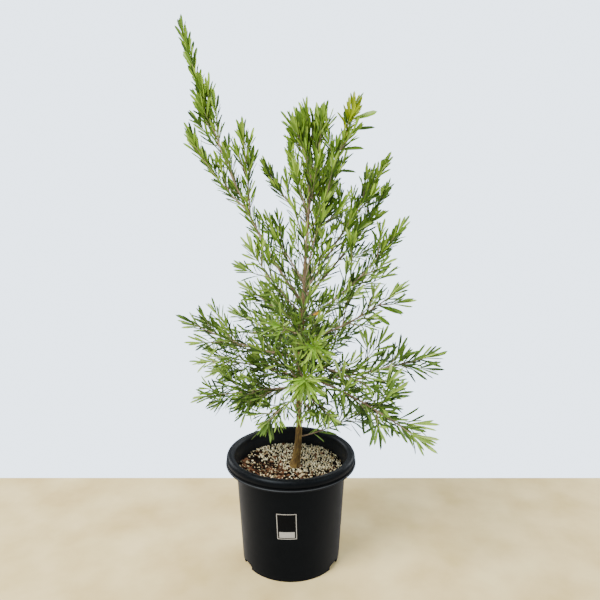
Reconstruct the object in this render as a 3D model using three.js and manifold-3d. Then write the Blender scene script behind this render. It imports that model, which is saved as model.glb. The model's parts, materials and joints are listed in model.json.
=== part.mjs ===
// A young bottlebrush shrub growing in a round nursery pot.
//
// The pot is a tapered plastic shell with a rolled rim and drain slots, filled with potting mix. One trunk
// leans and tapers up through the whole crown. Boughs leave it at their own heights and angles. Every bough
// carries on as a mass of foliage: a stem, side twigs that branch from it by a seeded rule, and flat pointed
// leaves.
//
// Millimetres, +Z up. The origin is the centre of the pot's flat underside. -Y is the front, where the label
// is.

import * as THREE from "three";
import { mergeVertices } from "three/addons/utils/BufferGeometryUtils.js";
import Module from "manifold-3d";

// ---------------------------------------------------------------- driving dimensions

const GAP = 0.3; // clearance between pieces that touch

const POT_HEIGHT = 258;
const POT_FOOT_RADIUS = 113.3; // outside, where the wall meets the floor
const POT_NECK_RADIUS = 125.9; // outside, just under the rim
const POT_NECK_HEIGHT = 232;
const POT_RIM_RADIUS = 149.5;
const POT_WALL = 2.4;
const POT_FLOOR = 4;
const POT_FACETS = 36;

const SLOT_COUNT = 3; // drain slots through the corner of wall and floor, one of them at the back
const SLOT_WIDTH = 34;
const SLOT_HEIGHT = 13;
const SLOT_DEPTH = 9;

const SOIL_HEIGHT = 222;
const SOIL_FLAT_RADIUS = 70; // level around the trunk, then falling a little to the wall
const SOIL_FALL = 5;

const LABEL_WIDTH = 45;
const LABEL_HEIGHT = 63;
const LABEL_THICKNESS = 0.5;
const LABEL_CENTRE_HEIGHT = 139;
const LABEL_TURN = -3.6; // degrees from the front, towards -X

// The trunk's lean, from just under the soil, where it is cut off, to where it becomes the leading shoot,
// with its diameter at each height.
const TRUNK = [
  { at: [8, 0, 205], diameter: 34 },
  { at: [9, 0, SOIL_HEIGHT], diameter: 26 },
  { at: [12, 0, 240], diameter: 20 },
  { at: [16, 0, 272], diameter: 16.5 },
  { at: [19, 0, 330], diameter: 14.5 },
  { at: [19, 0, 416], diameter: 13.5 },
  { at: [25, 0, 544], diameter: 12 },
  { at: [31, 0, 665], diameter: 10 },
  { at: [38, 0, 780], diameter: 8 },
  { at: [44, 0, 859], diameter: 6 },
];
const TRUNK_SIDES = 10;
const TRUNK_STEPS = 12;

const BOUGH_SIDES = 6;
const BOUGH_STEPS = 3;
const TWIG_SIDES = 3;
const STEM_STEPS = 4;
const TWIG_STEPS = 2;
const STEM_TIP_RADIUS = 1.1;
const TWIG_RADIUS = 1.5;
const TWIG_TIP_RADIUS = 0.8;

// A limb sets off from its foot at its rise angle and bends to its tip. The bend point lies this share of the
// way along the limb.
const BEND_SHARE = 0.41;

const TURN = THREE.MathUtils.degToRad(137.5); // from each leaf or twig to the next, round the stem

const TWIG_ANGLE = 40; // degrees between a twig and its stem
const TWIG_ANGLE_SPREAD = 10;
const TWIG_LIFT = 0.35; // how much a twig turns up towards the light
const TWIG_FIRST = 0.22; // twigs start on this share of a bare stem and beyond, or just past the bough's end
const TWIG_LAST = 0.86; // and not further out than this share
const TWIG_SHORTEN = 0.55; // the last twig is this much shorter than the first
const TWIG_UNEVEN = 0.15; // how much a twig's length strays either way

const LEAF_LENGTH = 78;
const LEAF_WIDTH = 13;
const LEAF_THICKNESS = 1.8;
const TIP_LEAF_WIDTH = 9;
const LEAF_YOUNGER = 0.3; // the youngest leaf is this much shorter
const LEAF_UNEVEN = 0.2; // and any leaf may be up to this much shorter still
const LEAF_STEP = 38; // along a stem or twig, from leaf to leaf
const LEAF_FIRST = 0.12; // leaves start on this share of a stem or twig
const LEAF_LAST = 0.97;
const LEAF_OPEN = 52; // degrees between an old leaf and its stem
const LEAF_CLOSED = 20; // and between the youngest leaf and the tip
const TIP_LEAF = 40; // how far the single leaf at its tip carries a stem or twig on
const TIP_SUNK = 4; // and how far its root is sunk in
const FINEST = 0.02; // detail finer than this is merged away where leaves cross

const JUST_PAST = 0.035; // share of a limb between its bough's end and its first twig or leaf
const TWIG_CHECKS = [0.5, 0.8, 1]; // shares of a twig that have to lie in its own mass's space
const LEAF_CHECKS = [0.35, 0.6, 0.8, 1]; // and of a leaf
const SPACE_MARGIN = 2.5; // how much nearer its own stems a leaf lies than to those of any other mass
const CLEARANCE = 2; // between a leaf or twig and the skin of the trunk or a bough
const STEM_PIECES = 10; // straight pieces that stand for a stem when distances are measured
const TWIG_PIECES = 3;

const TWIG_SEED = 100;
const LEAF_SEED = 1100;

// Every limb on the trunk, from the lowest: its name, the height where it leaves the trunk, where its
// furthest leaf ends, the angle above level at which it sets off, the share of it that is bare bough before
// its foliage starts, its diameter at the foot, how many side twigs it has and the length of the longest.
const LIMBS = [
  ["low_back_right", 291, [205, 70, 345], 4, 0.5, 4.6, 3, 62],
  ["low_front_left", 388, [-64, -150, 366], 4, 0, 4.4, 2, 60],
  ["low_front", 402, [44, -190, 418], 6, 0, 4.4, 2, 60],
  ["low_front_right", 408, [90, -232, 422], 7, 0, 4.6, 3, 66],
  ["lower_left", 412, [-212, -60, 406], 1, 0.3, 5.4, 4, 76],
  ["lower_back", 420, [-30, 215, 470], 10, 0.3, 5.2, 4, 84],
  ["lower_right", 424, [323, -60, 508], 8, 0.34, 6.4, 5, 92],
  ["lower_back_left", 432, [-234, 62, 450], 20, 0.34, 5.6, 5, 80],
  ["long_front_right", 440, [261, -258, 384], 3, 0.34, 6.4, 5, 88],
  ["front", 448, [32, -230, 503], 12, 0.3, 5, 4, 66],
  ["lower_back_right", 462, [150, 195, 520], 12, 0.3, 5.4, 4, 84],
  ["front_right", 474, [178, -198, 470], 4, 0.32, 5.4, 4, 76],
  ["middle_left", 482, [-240, -40, 584], 8, 0.32, 6.4, 5, 90],
  ["high_front", 496, [55, -200, 566], 18, 0, 4.6, 3, 64],
  ["middle_back_left", 508, [-146, 82, 572], 18, 0.3, 5, 4, 76],
  ["middle_right", 520, [240, -90, 664], 18, 0.32, 6, 5, 84],
  ["high_front_left", 534, [-25, -172, 602], 15, 0, 4.4, 3, 66],
  ["middle_back", 546, [40, 205, 650], 20, 0.3, 5.4, 4, 84],
  ["short_left", 556, [-106, -36, 658], 32, 0, 4.4, 3, 60],
  ["upper_right", 566, [241, -62, 793], 30, 0.32, 6.2, 5, 90],
  ["upright_left", 580, [-92, -88, 757], 40, 0.3, 5, 4, 70],
  ["left_leader", 600, [-226, 20, 1194], 54, 0.36, 9, 4, 84],
  ["upper_back_right", 612, [232, 118, 868], 38, 0.34, 6, 5, 86],
  ["long_right", 626, [217, 40, 926], 56, 0.34, 6.4, 5, 80],
  ["right_leader", 640, [139, -28, 1040], 79, 0.3, 6, 6, 78],
  ["upper_back_left", 652, [-62, 150, 800], 32, 0.3, 5, 4, 74],
  ["high_back", 720, [96, 118, 880], 40, 0, 4.6, 4, 70],
  ["high_left", 776, [-62, 42, 918], 42, 0, 4.2, 3, 52],
  ["leading_shoot", 859, [26, -6, 1026], 92, 0, 5, 4, 78],
];

// The side shoots that are strong enough to be limbs of their own: the limb that each branches from and how
// far along it, then the same sizes. They belong to that limb's mass of foliage.
const SIDE_SHOOTS = [
  ["left_leader_outer", "left_leader", 0.43, [-221, 38, 988], 38, 4, 3, 60],
  ["left_leader_inner", "left_leader", 0.4, [-99, -28, 990], 84, 4, 3, 60],
  ["leading_shoot_right", "leading_shoot", 0.1, [72, -20, 1026], 70, 3.6, 2, 56],
  ["leading_shoot_left", "leading_shoot", 0.3, [0, -32, 1004], 60, 3.2, 1, 50],
];

// ---------------------------------------------------------------- materials

const potPlastic = new THREE.MeshStandardMaterial({ color: 0x15171a, roughness: 0.42, metalness: 0 });
const pottingMix = new THREE.MeshStandardMaterial({ color: 0x9c8468, roughness: 0.95, metalness: 0 });
const labelPaper = new THREE.MeshStandardMaterial({ color: 0xd9d4c8, roughness: 0.5, metalness: 0 });
const bark = new THREE.MeshStandardMaterial({ color: 0x8b6c4a, roughness: 0.85, metalness: 0 });
const leafGreen = new THREE.MeshStandardMaterial({ color: 0x5f8f2c, roughness: 0.5, metalness: 0 });

// ---------------------------------------------------------------- solids

const wasm = await Module();
wasm.setup();

// A closed three.js geometry as a solid that can be joined and cut.
function solidFrom(geometry) {
  const bare = geometry.index ? geometry.toNonIndexed() : geometry.clone();
  bare.deleteAttribute("normal");
  bare.deleteAttribute("uv");
  const merged = mergeVertices(bare, 1e-4);
  return new wasm.Manifold(
    new wasm.Mesh({
      numProp: 3,
      vertProperties: merged.attributes.position.array,
      triVerts: new Uint32Array(merged.index.array),
    }),
  );
}

// The largest body of a solid, so that no loose scrap of a cut stays.
function mainBody(solid) {
  return solid.decompose().reduce((best, body) => (body.volume() > best.volume() ? body : best));
}

function meshFrom(name, solid, material) {
  const { vertProperties, triVerts } = solid.getMesh();
  const geometry = new THREE.BufferGeometry()
    .setAttribute("position", new THREE.BufferAttribute(new Float32Array(vertProperties), 3))
    .setIndex(new THREE.BufferAttribute(new Uint32Array(triVerts), 1));
  geometry.computeVertexNormals();
  const mesh = new THREE.Mesh(geometry, material);
  mesh.name = name;
  return mesh;
}

// A closed cylinder bent along a curve. `radiusAt` gives its radius at each share of the curve.
function bentCylinder(curve, start, end, radiusAt, sides, steps) {
  const geometry = new THREE.CylinderGeometry(1, 1, 1, sides, steps);
  const chord = curve.getPoint(1).sub(curve.getPoint(0));
  const reference = new THREE.Vector3(...(Math.abs(chord.y) < Math.abs(chord.x) ? [0, 1, 0] : [1, 0, 0]));
  const position = geometry.attributes.position;
  for (let i = 0; i < position.count; i++) {
    const share = THREE.MathUtils.lerp(start, end, position.getY(i) + 0.5);
    const along = curve.getTangent(share);
    const across = new THREE.Vector3().crossVectors(reference, along).normalize();
    const other = new THREE.Vector3().crossVectors(across, along);
    const point = curve
      .getPoint(share)
      .addScaledVector(across, position.getX(i) * radiusAt(share))
      .addScaledVector(other, position.getZ(i) * radiusAt(share));
    position.setXYZ(i, point.x, point.y, point.z);
  }
  return solidFrom(geometry);
}

// ---------------------------------------------------------------- pot, potting mix and label

function wallRadius(height) {
  return THREE.MathUtils.mapLinear(height, 0, POT_NECK_HEIGHT, POT_FOOT_RADIUS, POT_NECK_RADIUS);
}

// A profile of [radius, height] pairs, from the axis round to the axis, turned about Z.
function turned(profile) {
  const points = profile.map(([radius, height]) => new THREE.Vector2(radius, height));
  return solidFrom(new THREE.LatheGeometry(points, POT_FACETS).rotateX(Math.PI / 2));
}

function makePot() {
  const neck = POT_NECK_HEIGHT;
  const shell = turned([
    [0, 0],
    [POT_FOOT_RADIUS - 2, 0],
    [POT_FOOT_RADIUS, 2.5],
    [POT_NECK_RADIUS, neck],
    [POT_RIM_RADIUS - 2.5, neck + 1],
    [POT_RIM_RADIUS, neck + 3.5], // the lip along the rim's lower edge
    [POT_RIM_RADIUS - 1.8, neck + 8],
    [POT_RIM_RADIUS - 0.5, neck + 14],
    [POT_RIM_RADIUS - 4.5, neck + 23],
    [POT_RIM_RADIUS - 14, POT_HEIGHT],
    [POT_RIM_RADIUS - 18.5, POT_HEIGHT - 3.5],
    [POT_RIM_RADIUS - 21, POT_HEIGHT - 12],
    [wallRadius(neck) - POT_WALL, neck],
    [wallRadius(POT_FLOOR) - POT_WALL, POT_FLOOR],
    [0, POT_FLOOR],
  ]);
  let pot = shell;
  for (let i = 0; i < SLOT_COUNT; i++) {
    const slot = new THREE.BoxGeometry(2 * SLOT_DEPTH, SLOT_WIDTH, 2 * SLOT_HEIGHT)
      .translate(POT_FOOT_RADIUS, 0, 0)
      .rotateZ(Math.PI / 2 + (i * 2 * Math.PI) / SLOT_COUNT);
    pot = pot.subtract(solidFrom(slot));
  }
  return meshFrom("pot", mainBody(pot), potPlastic);
}

function makePottingMix() {
  const insideRadius = (height) => wallRadius(height) - POT_WALL - GAP;
  const edge = SOIL_HEIGHT - SOIL_FALL;
  const clearOfSlots = 2 * SLOT_HEIGHT + 4;
  const filling = turned([
    [0, POT_FLOOR + GAP],
    [POT_FOOT_RADIUS - SLOT_DEPTH - 4, POT_FLOOR + GAP],
    [insideRadius(clearOfSlots), clearOfSlots],
    [insideRadius(edge), edge],
    [SOIL_FLAT_RADIUS, SOIL_HEIGHT],
    [0, SOIL_HEIGHT],
  ]);
  return meshFrom("potting_mix", filling, pottingMix);
}

// A flat sticker bent round the pot's tapered wall.
function makeLabel() {
  const geometry = new THREE.BoxGeometry(LABEL_WIDTH, LABEL_THICKNESS, LABEL_HEIGHT, 6, 1, 1);
  const position = geometry.attributes.position;
  for (let i = 0; i < position.count; i++) {
    const height = LABEL_CENTRE_HEIGHT + position.getZ(i);
    const angle = position.getX(i) / wallRadius(LABEL_CENTRE_HEIGHT) + THREE.MathUtils.degToRad(LABEL_TURN);
    const radius = wallRadius(height) + GAP + LABEL_THICKNESS / 2 - position.getY(i);
    position.setXYZ(i, radius * Math.sin(angle), -radius * Math.cos(angle), height);
  }
  return meshFrom("label", solidFrom(geometry), labelPaper);
}

// ---------------------------------------------------------------- trunk and boughs

const trunkPoints = TRUNK.map(({ at }) => new THREE.Vector3(...at));
const trunkCurve = new THREE.CatmullRomCurve3(trunkPoints, false, "catmullrom", 0.5);

// The trunk's radius at a share of its curve, with `extra` all round.
function trunkRadius(share, extra = 0) {
  const place = THREE.MathUtils.clamp(share, 0, 1) * (TRUNK.length - 1);
  const below = Math.min(Math.floor(place), TRUNK.length - 2);
  return THREE.MathUtils.lerp(TRUNK[below].diameter, TRUNK[below + 1].diameter, place - below) / 2 + extra;
}

// The share of the trunk's curve at a height.
function trunkShare(height) {
  let low = 0;
  let high = 1;
  while (high - low > 1e-5) {
    const middle = (low + high) / 2;
    if (trunkCurve.getPoint(middle).z < height) low = middle;
    else high = middle;
  }
  return (low + high) / 2;
}

function trunkSolid(extra) {
  return bentCylinder(trunkCurve, 0, 1, (share) => trunkRadius(share, extra), TRUNK_SIDES, TRUNK_STEPS);
}

// The trunk's foot is cut flat at the soil.
function makeTrunk() {
  const depth = 2 * SOIL_HEIGHT;
  const below = solidFrom(new THREE.BoxGeometry(depth, depth, depth).translate(0, 0, GAP));
  return meshFrom("trunk", mainBody(trunkSolid(0).subtract(below)), bark);
}

// The stem of a limb, which its tip leaf carries on to the tip.
function limbCurve(foot, tip, rise) {
  const run = tip.clone().sub(foot);
  const level = new THREE.Vector3(run.x, run.y, 0).normalize();
  const angle = THREE.MathUtils.degToRad(rise);
  const bend = foot
    .clone()
    .addScaledVector(level, Math.cos(angle) * BEND_SHARE * run.length())
    .addScaledVector(new THREE.Vector3(0, 0, 1), Math.sin(angle) * BEND_SHARE * run.length());
  const end = tip.clone().addScaledVector(tip.clone().sub(bend).normalize(), -TIP_LEAF);
  return new THREE.QuadraticBezierCurve3(foot, bend, end);
}

function limbFrom(sizes, foot) {
  const curve = limbCurve(foot, new THREE.Vector3(...sizes.tip), sizes.rise);
  const radiusAt = (share) => THREE.MathUtils.lerp(sizes.thick / 2, STEM_TIP_RADIUS, share);
  return { ...sizes, curve, radiusAt, length: curve.getLength() };
}

// Every limb with its curve and its radius at each share of it. `mass` names the foliage that it belongs to.
function growLimbs() {
  const limbs = LIMBS.map(([name, from, tip, rise, bare, thick, twigs, twig]) => {
    const foot = trunkCurve.getPoint(trunkShare(from));
    return limbFrom({ name, mass: name, tip, rise, bare, thick, twigs, twig }, foot);
  });
  const shoots = SIDE_SHOOTS.map(([name, on, along, tip, rise, thick, twigs, twig]) => {
    const foot = limbs.find((limb) => limb.name === on).curve.getPoint(along);
    return limbFrom({ name, mass: on, tip, rise, bare: 0, thick, twigs, twig }, foot);
  });
  return [...limbs, ...shoots];
}

// ---------------------------------------------------------------- foliage

// Evenly spread numbers from 0 to 1 that are the same on every run.
function seededDraw(seed) {
  let state = seed;
  return () => {
    state = (state + 0x6d2b79f5) | 0;
    let mixed = Math.imul(state ^ (state >>> 15), 1 | state);
    mixed = (mixed + Math.imul(mixed ^ (mixed >>> 7), 61 | mixed)) ^ mixed;
    return ((mixed ^ (mixed >>> 14)) >>> 0) / 4294967296;
  };
}

// A direction at `angle` degrees from `axis`, turned `around` radians about it.
function leaning(axis, angle, around) {
  const side = new THREE.Vector3(0, 0, 1).cross(axis);
  if (side.length() < 0.05) side.set(1, 0, 0);
  side.normalize();
  const front = new THREE.Vector3().crossVectors(axis, side);
  const tilt = THREE.MathUtils.degToRad(angle);
  return axis
    .clone()
    .multiplyScalar(Math.cos(tilt))
    .addScaledVector(side, Math.sin(tilt) * Math.cos(around))
    .addScaledVector(front, Math.sin(tilt) * Math.sin(around));
}

// The side twigs of a limb: each leans out of the stem, a golden turn from the last, and bends up.
function growTwigs(limb, seed) {
  const draw = seededDraw(seed);
  const phase = draw() * 2 * Math.PI;
  const twigs = [];
  for (let i = 0; i < limb.twigs; i++) {
    const place = (i + draw()) / limb.twigs;
    const start = Math.max(limb.bare + JUST_PAST, TWIG_FIRST);
    const share = THREE.MathUtils.lerp(start, TWIG_LAST, place);
    const foot = limb.curve.getPoint(share);
    const angle = TWIG_ANGLE + TWIG_ANGLE_SPREAD * (2 * draw() - 1);
    const out = leaning(limb.curve.getTangent(share), angle, phase + i * TURN);
    const length = limb.twig * (1 - TWIG_SHORTEN * place) * (1 + TWIG_UNEVEN * (2 * draw() - 1));
    const bend = foot.clone().addScaledVector(out, length / 2);
    const end = out.clone().add(new THREE.Vector3(0, 0, TWIG_LIFT)).normalize();
    const tip = bend.clone().addScaledVector(end, length / 2);
    twigs.push({
      curve: new THREE.QuadraticBezierCurve3(foot, bend, tip),
      radiusAt: (along) => THREE.MathUtils.lerp(TWIG_RADIUS, TWIG_TIP_RADIUS, along),
      bare: 0,
      length,
    });
  }
  return twigs;
}

// Straight pieces of a curve, for measuring how far a point lies from it.
function piecesOf(curve, start, count) {
  const points = [];
  for (let i = 0; i <= count; i++) points.push(curve.getPoint(THREE.MathUtils.lerp(start, 1, i / count)));
  return points.slice(1).map((point, i) => new THREE.Line3(points[i], point));
}

const nearest = new THREE.Vector3();

function distanceTo(pieces, point) {
  const distances = pieces.map((piece) => piece.closestPointToPoint(point, true, nearest).distanceTo(point));
  return Math.min(...distances);
}

// True if every point lies nearer the mass's own stems than any other's, and clear of the trunk and boughs.
function keepsToSpace(points, mass, stems, limbSkins) {
  return points.every((point) => {
    const own = distanceTo(stems.get(mass), point);
    for (const [other, pieces] of stems) {
      if (other !== mass && distanceTo(pieces, point) < own + SPACE_MARGIN) return false;
    }
    return limbSkins.every(({ pieces, radius }) => distanceTo(pieces, point) > radius);
  });
}

// One flat pointed leaf with a midrib along its underside: a six-faced blade, from the three corners of its
// middle to the points at its root and tip.
function leafSolid(root, direction, upper, length, width) {
  const side = new THREE.Vector3().crossVectors(upper, direction).normalize();
  const face = new THREE.Vector3().crossVectors(direction, side);
  const blade = new THREE.SphereGeometry(1, 3, 2);
  const { min, max } = new THREE.Box3().setFromObject(new THREE.Mesh(blade));
  const frame = new THREE.Matrix4()
    .makeBasis(face, direction, side)
    .scale(new THREE.Vector3(LEAF_THICKNESS / (max.x - min.x), length / 2, width / (max.z - min.z)))
    .setPosition(root.clone().addScaledVector(direction, length / 2));
  return solidFrom(blade.applyMatrix4(frame));
}

// The leaves of one stem or twig, a golden turn apart, opening wide at its foot and closing round its tip.
function growLeaves(axis, seed, allowed) {
  const draw = seededDraw(seed);
  const phase = draw() * 2 * Math.PI;
  const start = Math.max(axis.bare + JUST_PAST, LEAF_FIRST);
  const count = Math.max(2, Math.round((axis.length * (1 - start)) / LEAF_STEP));
  const leaves = [];
  for (let i = 0; i < count; i++) {
    const age = (i + 0.5) / count;
    const share = THREE.MathUtils.lerp(start, LEAF_LAST, age);
    const root = axis.curve.getPoint(share);
    const along = axis.curve.getTangent(share);
    const angle = THREE.MathUtils.lerp(LEAF_OPEN, LEAF_CLOSED, age);
    const direction = leaning(along, angle, phase + i * TURN);
    const length = LEAF_LENGTH * (1 - LEAF_YOUNGER * age * age) * (1 - LEAF_UNEVEN * draw());
    const tip = root.clone().addScaledVector(direction, length);
    const checked = LEAF_CHECKS.map((along) => root.clone().lerp(tip, along));
    if (allowed(checked)) leaves.push(leafSolid(root, direction, along, length, LEAF_WIDTH));
  }
  const along = axis.curve.getTangent(1);
  const root = axis.curve.getPoint(1).addScaledVector(along, -TIP_SUNK);
  const tip = axis.curve.getPoint(1).addScaledVector(along, TIP_LEAF);
  if (allowed([tip])) {
    const upper = leaning(along, 90, phase);
    leaves.push(leafSolid(root, along, upper, TIP_LEAF + TIP_SUNK, TIP_LEAF_WIDTH));
  }
  return leaves;
}

// The trunk and the boughs as lines with a radius, which leaves and twigs keep clear of.
function limbSkinsOf(limbs) {
  const skins = piecesOf(trunkCurve, 0, TRUNK_STEPS).map((piece, i) => ({
    pieces: [piece],
    radius: trunkRadius(i / TRUNK_STEPS) + CLEARANCE,
  }));
  for (const { curve, bare, thick } of limbs.filter((limb) => limb.bare > 0)) {
    const pieces = piecesOf(curve, 0, STEM_PIECES).slice(0, Math.ceil(STEM_PIECES * bare));
    skins.push({ pieces, radius: thick / 2 + CLEARANCE });
  }
  return skins;
}

// The stems of each mass, and after them its twigs, where they stay in its space.
function growAxes(limbs, limbSkins) {
  const stems = new Map();
  for (const { mass, curve, bare } of limbs)
    stems.set(mass, [...(stems.get(mass) ?? []), ...piecesOf(curve, bare, STEM_PIECES)]);
  const axes = new Map([...stems.keys()].map((mass) => [mass, limbs.filter((limb) => limb.mass === mass)]));
  limbs.forEach((limb, i) => {
    for (const twig of growTwigs(limb, TWIG_SEED + i)) {
      const checked = TWIG_CHECKS.map((share) => twig.curve.getPoint(share));
      if (keepsToSpace(checked, limb.mass, stems, limbSkins)) axes.get(limb.mass).push(twig);
    }
  });
  return axes;
}

function makeBough(limb, trunkSkin) {
  const whole = bentCylinder(limb.curve, 0, limb.bare, limb.radiusAt, BOUGH_SIDES, BOUGH_STEPS);
  return meshFrom(`bough_${limb.name}`, mainBody(whole.subtract(trunkSkin).simplify(FINEST)), bark);
}

// One mass of foliage: its stem, which starts just clear of the bough or trunk, its shoots, twigs and leaves.
function makeFoliage(mass, axes, seed, allowed, trunkSkin) {
  const pieces = axes.flatMap((axis, i) => {
    const start = axis.name === mass ? axis.bare + GAP / axis.length : 0;
    const steps = axis.name ? STEM_STEPS : TWIG_STEPS;
    const wood = bentCylinder(axis.curve, start, 1, axis.radiusAt, TWIG_SIDES, steps);
    return [wood, ...growLeaves(axis, seed + i, allowed)];
  });
  const joined = pieces.reduce((foliage, piece) => foliage.add(piece));
  return meshFrom(`foliage_${mass}`, mainBody(joined.subtract(trunkSkin).simplify(FINEST)), leafGreen);
}

function makePlant() {
  const limbs = growLimbs();
  const limbSkins = limbSkinsOf(limbs);
  const axes = growAxes(limbs, limbSkins);
  const skeleton = new Map(
    [...axes].map(([mass, grown]) => [
      mass,
      grown.flatMap(({ curve, bare, name }) => piecesOf(curve, bare, name ? STEM_PIECES : TWIG_PIECES)),
    ]),
  );
  const trunkSkin = trunkSolid(GAP);
  const boughs = limbs.filter(({ bare }) => bare > 0).map((limb) => makeBough(limb, trunkSkin));
  const foliage = [...axes].map(([mass, grown], i) => {
    const allowed = (points) => keepsToSpace(points, mass, skeleton, limbSkins);
    return makeFoliage(mass, grown, LEAF_SEED * (i + 1), allowed, trunkSkin);
  });
  return [makeTrunk(), ...boughs, ...foliage];
}

// ---------------------------------------------------------------- the whole object

const bottlebrush = new THREE.Group();
bottlebrush.name = "potted_bottlebrush";
bottlebrush.add(makePot(), makePottingMix(), makeLabel(), ...makePlant());

export default bottlebrush;
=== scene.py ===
# %% [markdown]
# # A young bottlebrush in a nursery pot
#
# A bottlebrush is an evergreen shrub with stiff narrow leaves set all round its shoots. This one grows in a
# black plastic nursery pot topped with pumice grit and bark chips. The solids of the model already give the
# trunk, every limb and the reach of the crown. Here each of them is dressed: the pot is turned again with a
# real rim, the wood gets its bark, and the crown grows its fine twigs and several thousand leaves.

# %% Load the solids
import json
import math
from collections import namedtuple

import bmesh
import bpy
import numpy as np
from mathutils import Matrix, Vector, noise

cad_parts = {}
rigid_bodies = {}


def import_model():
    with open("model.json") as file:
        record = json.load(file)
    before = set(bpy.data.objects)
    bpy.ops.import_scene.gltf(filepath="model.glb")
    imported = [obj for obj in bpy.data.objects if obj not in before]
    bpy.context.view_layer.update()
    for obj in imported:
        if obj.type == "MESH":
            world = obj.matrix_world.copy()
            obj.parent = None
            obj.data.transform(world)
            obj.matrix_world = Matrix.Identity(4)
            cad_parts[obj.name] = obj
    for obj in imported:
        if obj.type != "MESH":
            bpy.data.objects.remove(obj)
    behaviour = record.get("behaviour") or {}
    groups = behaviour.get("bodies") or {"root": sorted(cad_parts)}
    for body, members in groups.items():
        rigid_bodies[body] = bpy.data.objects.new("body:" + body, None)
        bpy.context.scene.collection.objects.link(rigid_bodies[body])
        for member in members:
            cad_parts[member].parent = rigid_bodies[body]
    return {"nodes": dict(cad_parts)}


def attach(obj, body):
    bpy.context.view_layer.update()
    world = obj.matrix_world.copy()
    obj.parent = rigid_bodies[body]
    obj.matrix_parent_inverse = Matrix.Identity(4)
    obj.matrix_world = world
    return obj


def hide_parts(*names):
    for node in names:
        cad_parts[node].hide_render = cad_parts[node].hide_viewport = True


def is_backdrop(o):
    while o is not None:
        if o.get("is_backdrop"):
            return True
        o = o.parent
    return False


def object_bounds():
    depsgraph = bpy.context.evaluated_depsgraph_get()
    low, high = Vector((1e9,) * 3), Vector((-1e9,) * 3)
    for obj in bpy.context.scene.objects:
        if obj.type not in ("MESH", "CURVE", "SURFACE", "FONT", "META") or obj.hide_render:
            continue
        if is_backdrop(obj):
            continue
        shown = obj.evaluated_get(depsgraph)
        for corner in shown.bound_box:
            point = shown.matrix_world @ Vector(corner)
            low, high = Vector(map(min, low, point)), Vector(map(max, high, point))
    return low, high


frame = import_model()
SOLID_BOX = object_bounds()
MM = 0.001
print("solids:", len(frame["nodes"]), "tallest point:", round(SOLID_BOX[1].z, 3), "m")


# %% A few small helpers
def clamp(value, low=0, high=1):
    return max(low, min(high, value))


def blend(a, b, share):
    return a + (b - a) * share


def link(thing):
    bpy.context.scene.collection.objects.link(thing)
    return thing


def new_mesh(name, vertices, edges=(), faces=()):
    mesh = bpy.data.meshes.new(name)
    mesh.from_pydata([tuple(v) for v in vertices], edges, faces)
    return mesh


def new_piece(name, vertices, faces, *finishes):
    mesh = new_mesh(name, vertices, faces=faces)
    for finish in finishes:
        mesh.materials.append(finish)
    return link(bpy.data.objects.new(name, mesh))


def mesh_of(shape, name):
    """Turns a shape that was edited in memory into a mesh, and frees it."""
    mesh = bpy.data.meshes.new(name)
    shape.to_mesh(mesh)
    shape.free()
    return mesh


def store_on(mesh, name, values, kind="FLOAT", where="POINT"):
    """Stores one value on each point or face, for a node tree to read by name."""
    field = "vector" if kind == "FLOAT_VECTOR" else "value"
    mesh.attributes.new(name, kind, where).data.foreach_set(field, values)


# %% [markdown]
# ## Camera and stage
#
# The plant is seen from a standing person's chest height, looking slightly down into the pot. A pale floor
# and broad soft lamps are enough: narrow leaves are easiest to read when nothing throws a hard shadow.
# Several large lamps were chosen over one sun, because the black pot needs something wide to reflect.

# %% Place the camera
CAMERA_PLACE = (21 * MM, -1260 * MM, 852 * MM)
CAMERA_DOWN = 10.8  # degrees below level
CAMERA_LENS = 35.04  # millimetres, on a 36 mm sensor

camera = link(bpy.data.objects.new("camera", bpy.data.cameras.new("camera")))
camera.data.lens = CAMERA_LENS
camera.data.sensor_width = 36
camera.location = CAMERA_PLACE
camera.rotation_euler = (math.radians(90 - CAMERA_DOWN), 0, 0)
bpy.context.scene.camera = camera
print("camera", CAMERA_DOWN, "degrees down")


# %% Set the lamps and the sky
def soft_lamp(name, place, aim, width, watts, tint=(1, 1, 1)):
    lamp = bpy.data.lights.new(name, "AREA")
    lamp.shape = "DISK"
    lamp.size = width
    lamp.energy = watts
    lamp.color = tint
    holder = link(bpy.data.objects.new(name, lamp))
    holder.location = place
    holder.rotation_euler = (Vector(aim) - Vector(place)).to_track_quat("-Z", "Y").to_euler()


soft_lamp("lamp_key", (-1.5, -1.5, 2.7), (0, 0, 0.5), 1.5, 165, (1, 0.97, 0.93))
soft_lamp("lamp_fill", (2.2, -1.3, 1.6), (0, 0, 0.5), 1.8, 24, (0.93, 0.97, 1))
soft_lamp("lamp_back", (0.6, 2.0, 2.6), (0, 0, 0.6), 1.6, 44)
for side in (-1, 1):
    soft_lamp("lamp_rim", (side * 2.5, 1.9, 1.3), (0, 0, 0.4), 1.3, 34)

SKY_LIGHT = 0.52
SKY_COLOUR = (0.76, 0.87, 1.0, 1)
SKY_SEEN = 3.7  # paler behind the plant than it lights, as a lit wall would be


def make_sky():
    sky = bpy.data.worlds.new("soft_sky")
    sky.use_nodes = True
    nodes, links = sky.node_tree.nodes, sky.node_tree.links
    lighting = nodes["Background"]
    seen = nodes.new("ShaderNodeBackground")
    for background, strength in ((lighting, SKY_LIGHT), (seen, SKY_SEEN)):
        background.inputs["Color"].default_value = SKY_COLOUR
        background.inputs["Strength"].default_value = strength
    choice = nodes.new("ShaderNodeMixShader")
    links.new(nodes.new("ShaderNodeLightPath").outputs["Is Camera Ray"], choice.inputs[0])
    links.new(lighting.outputs[0], choice.inputs[1])
    links.new(seen.outputs[0], choice.inputs[2])
    links.new(choice.outputs[0], nodes["World Output"].inputs["Surface"])
    bpy.context.scene.world = sky


make_sky()
print("lamps: 5, sky: plain")

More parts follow.
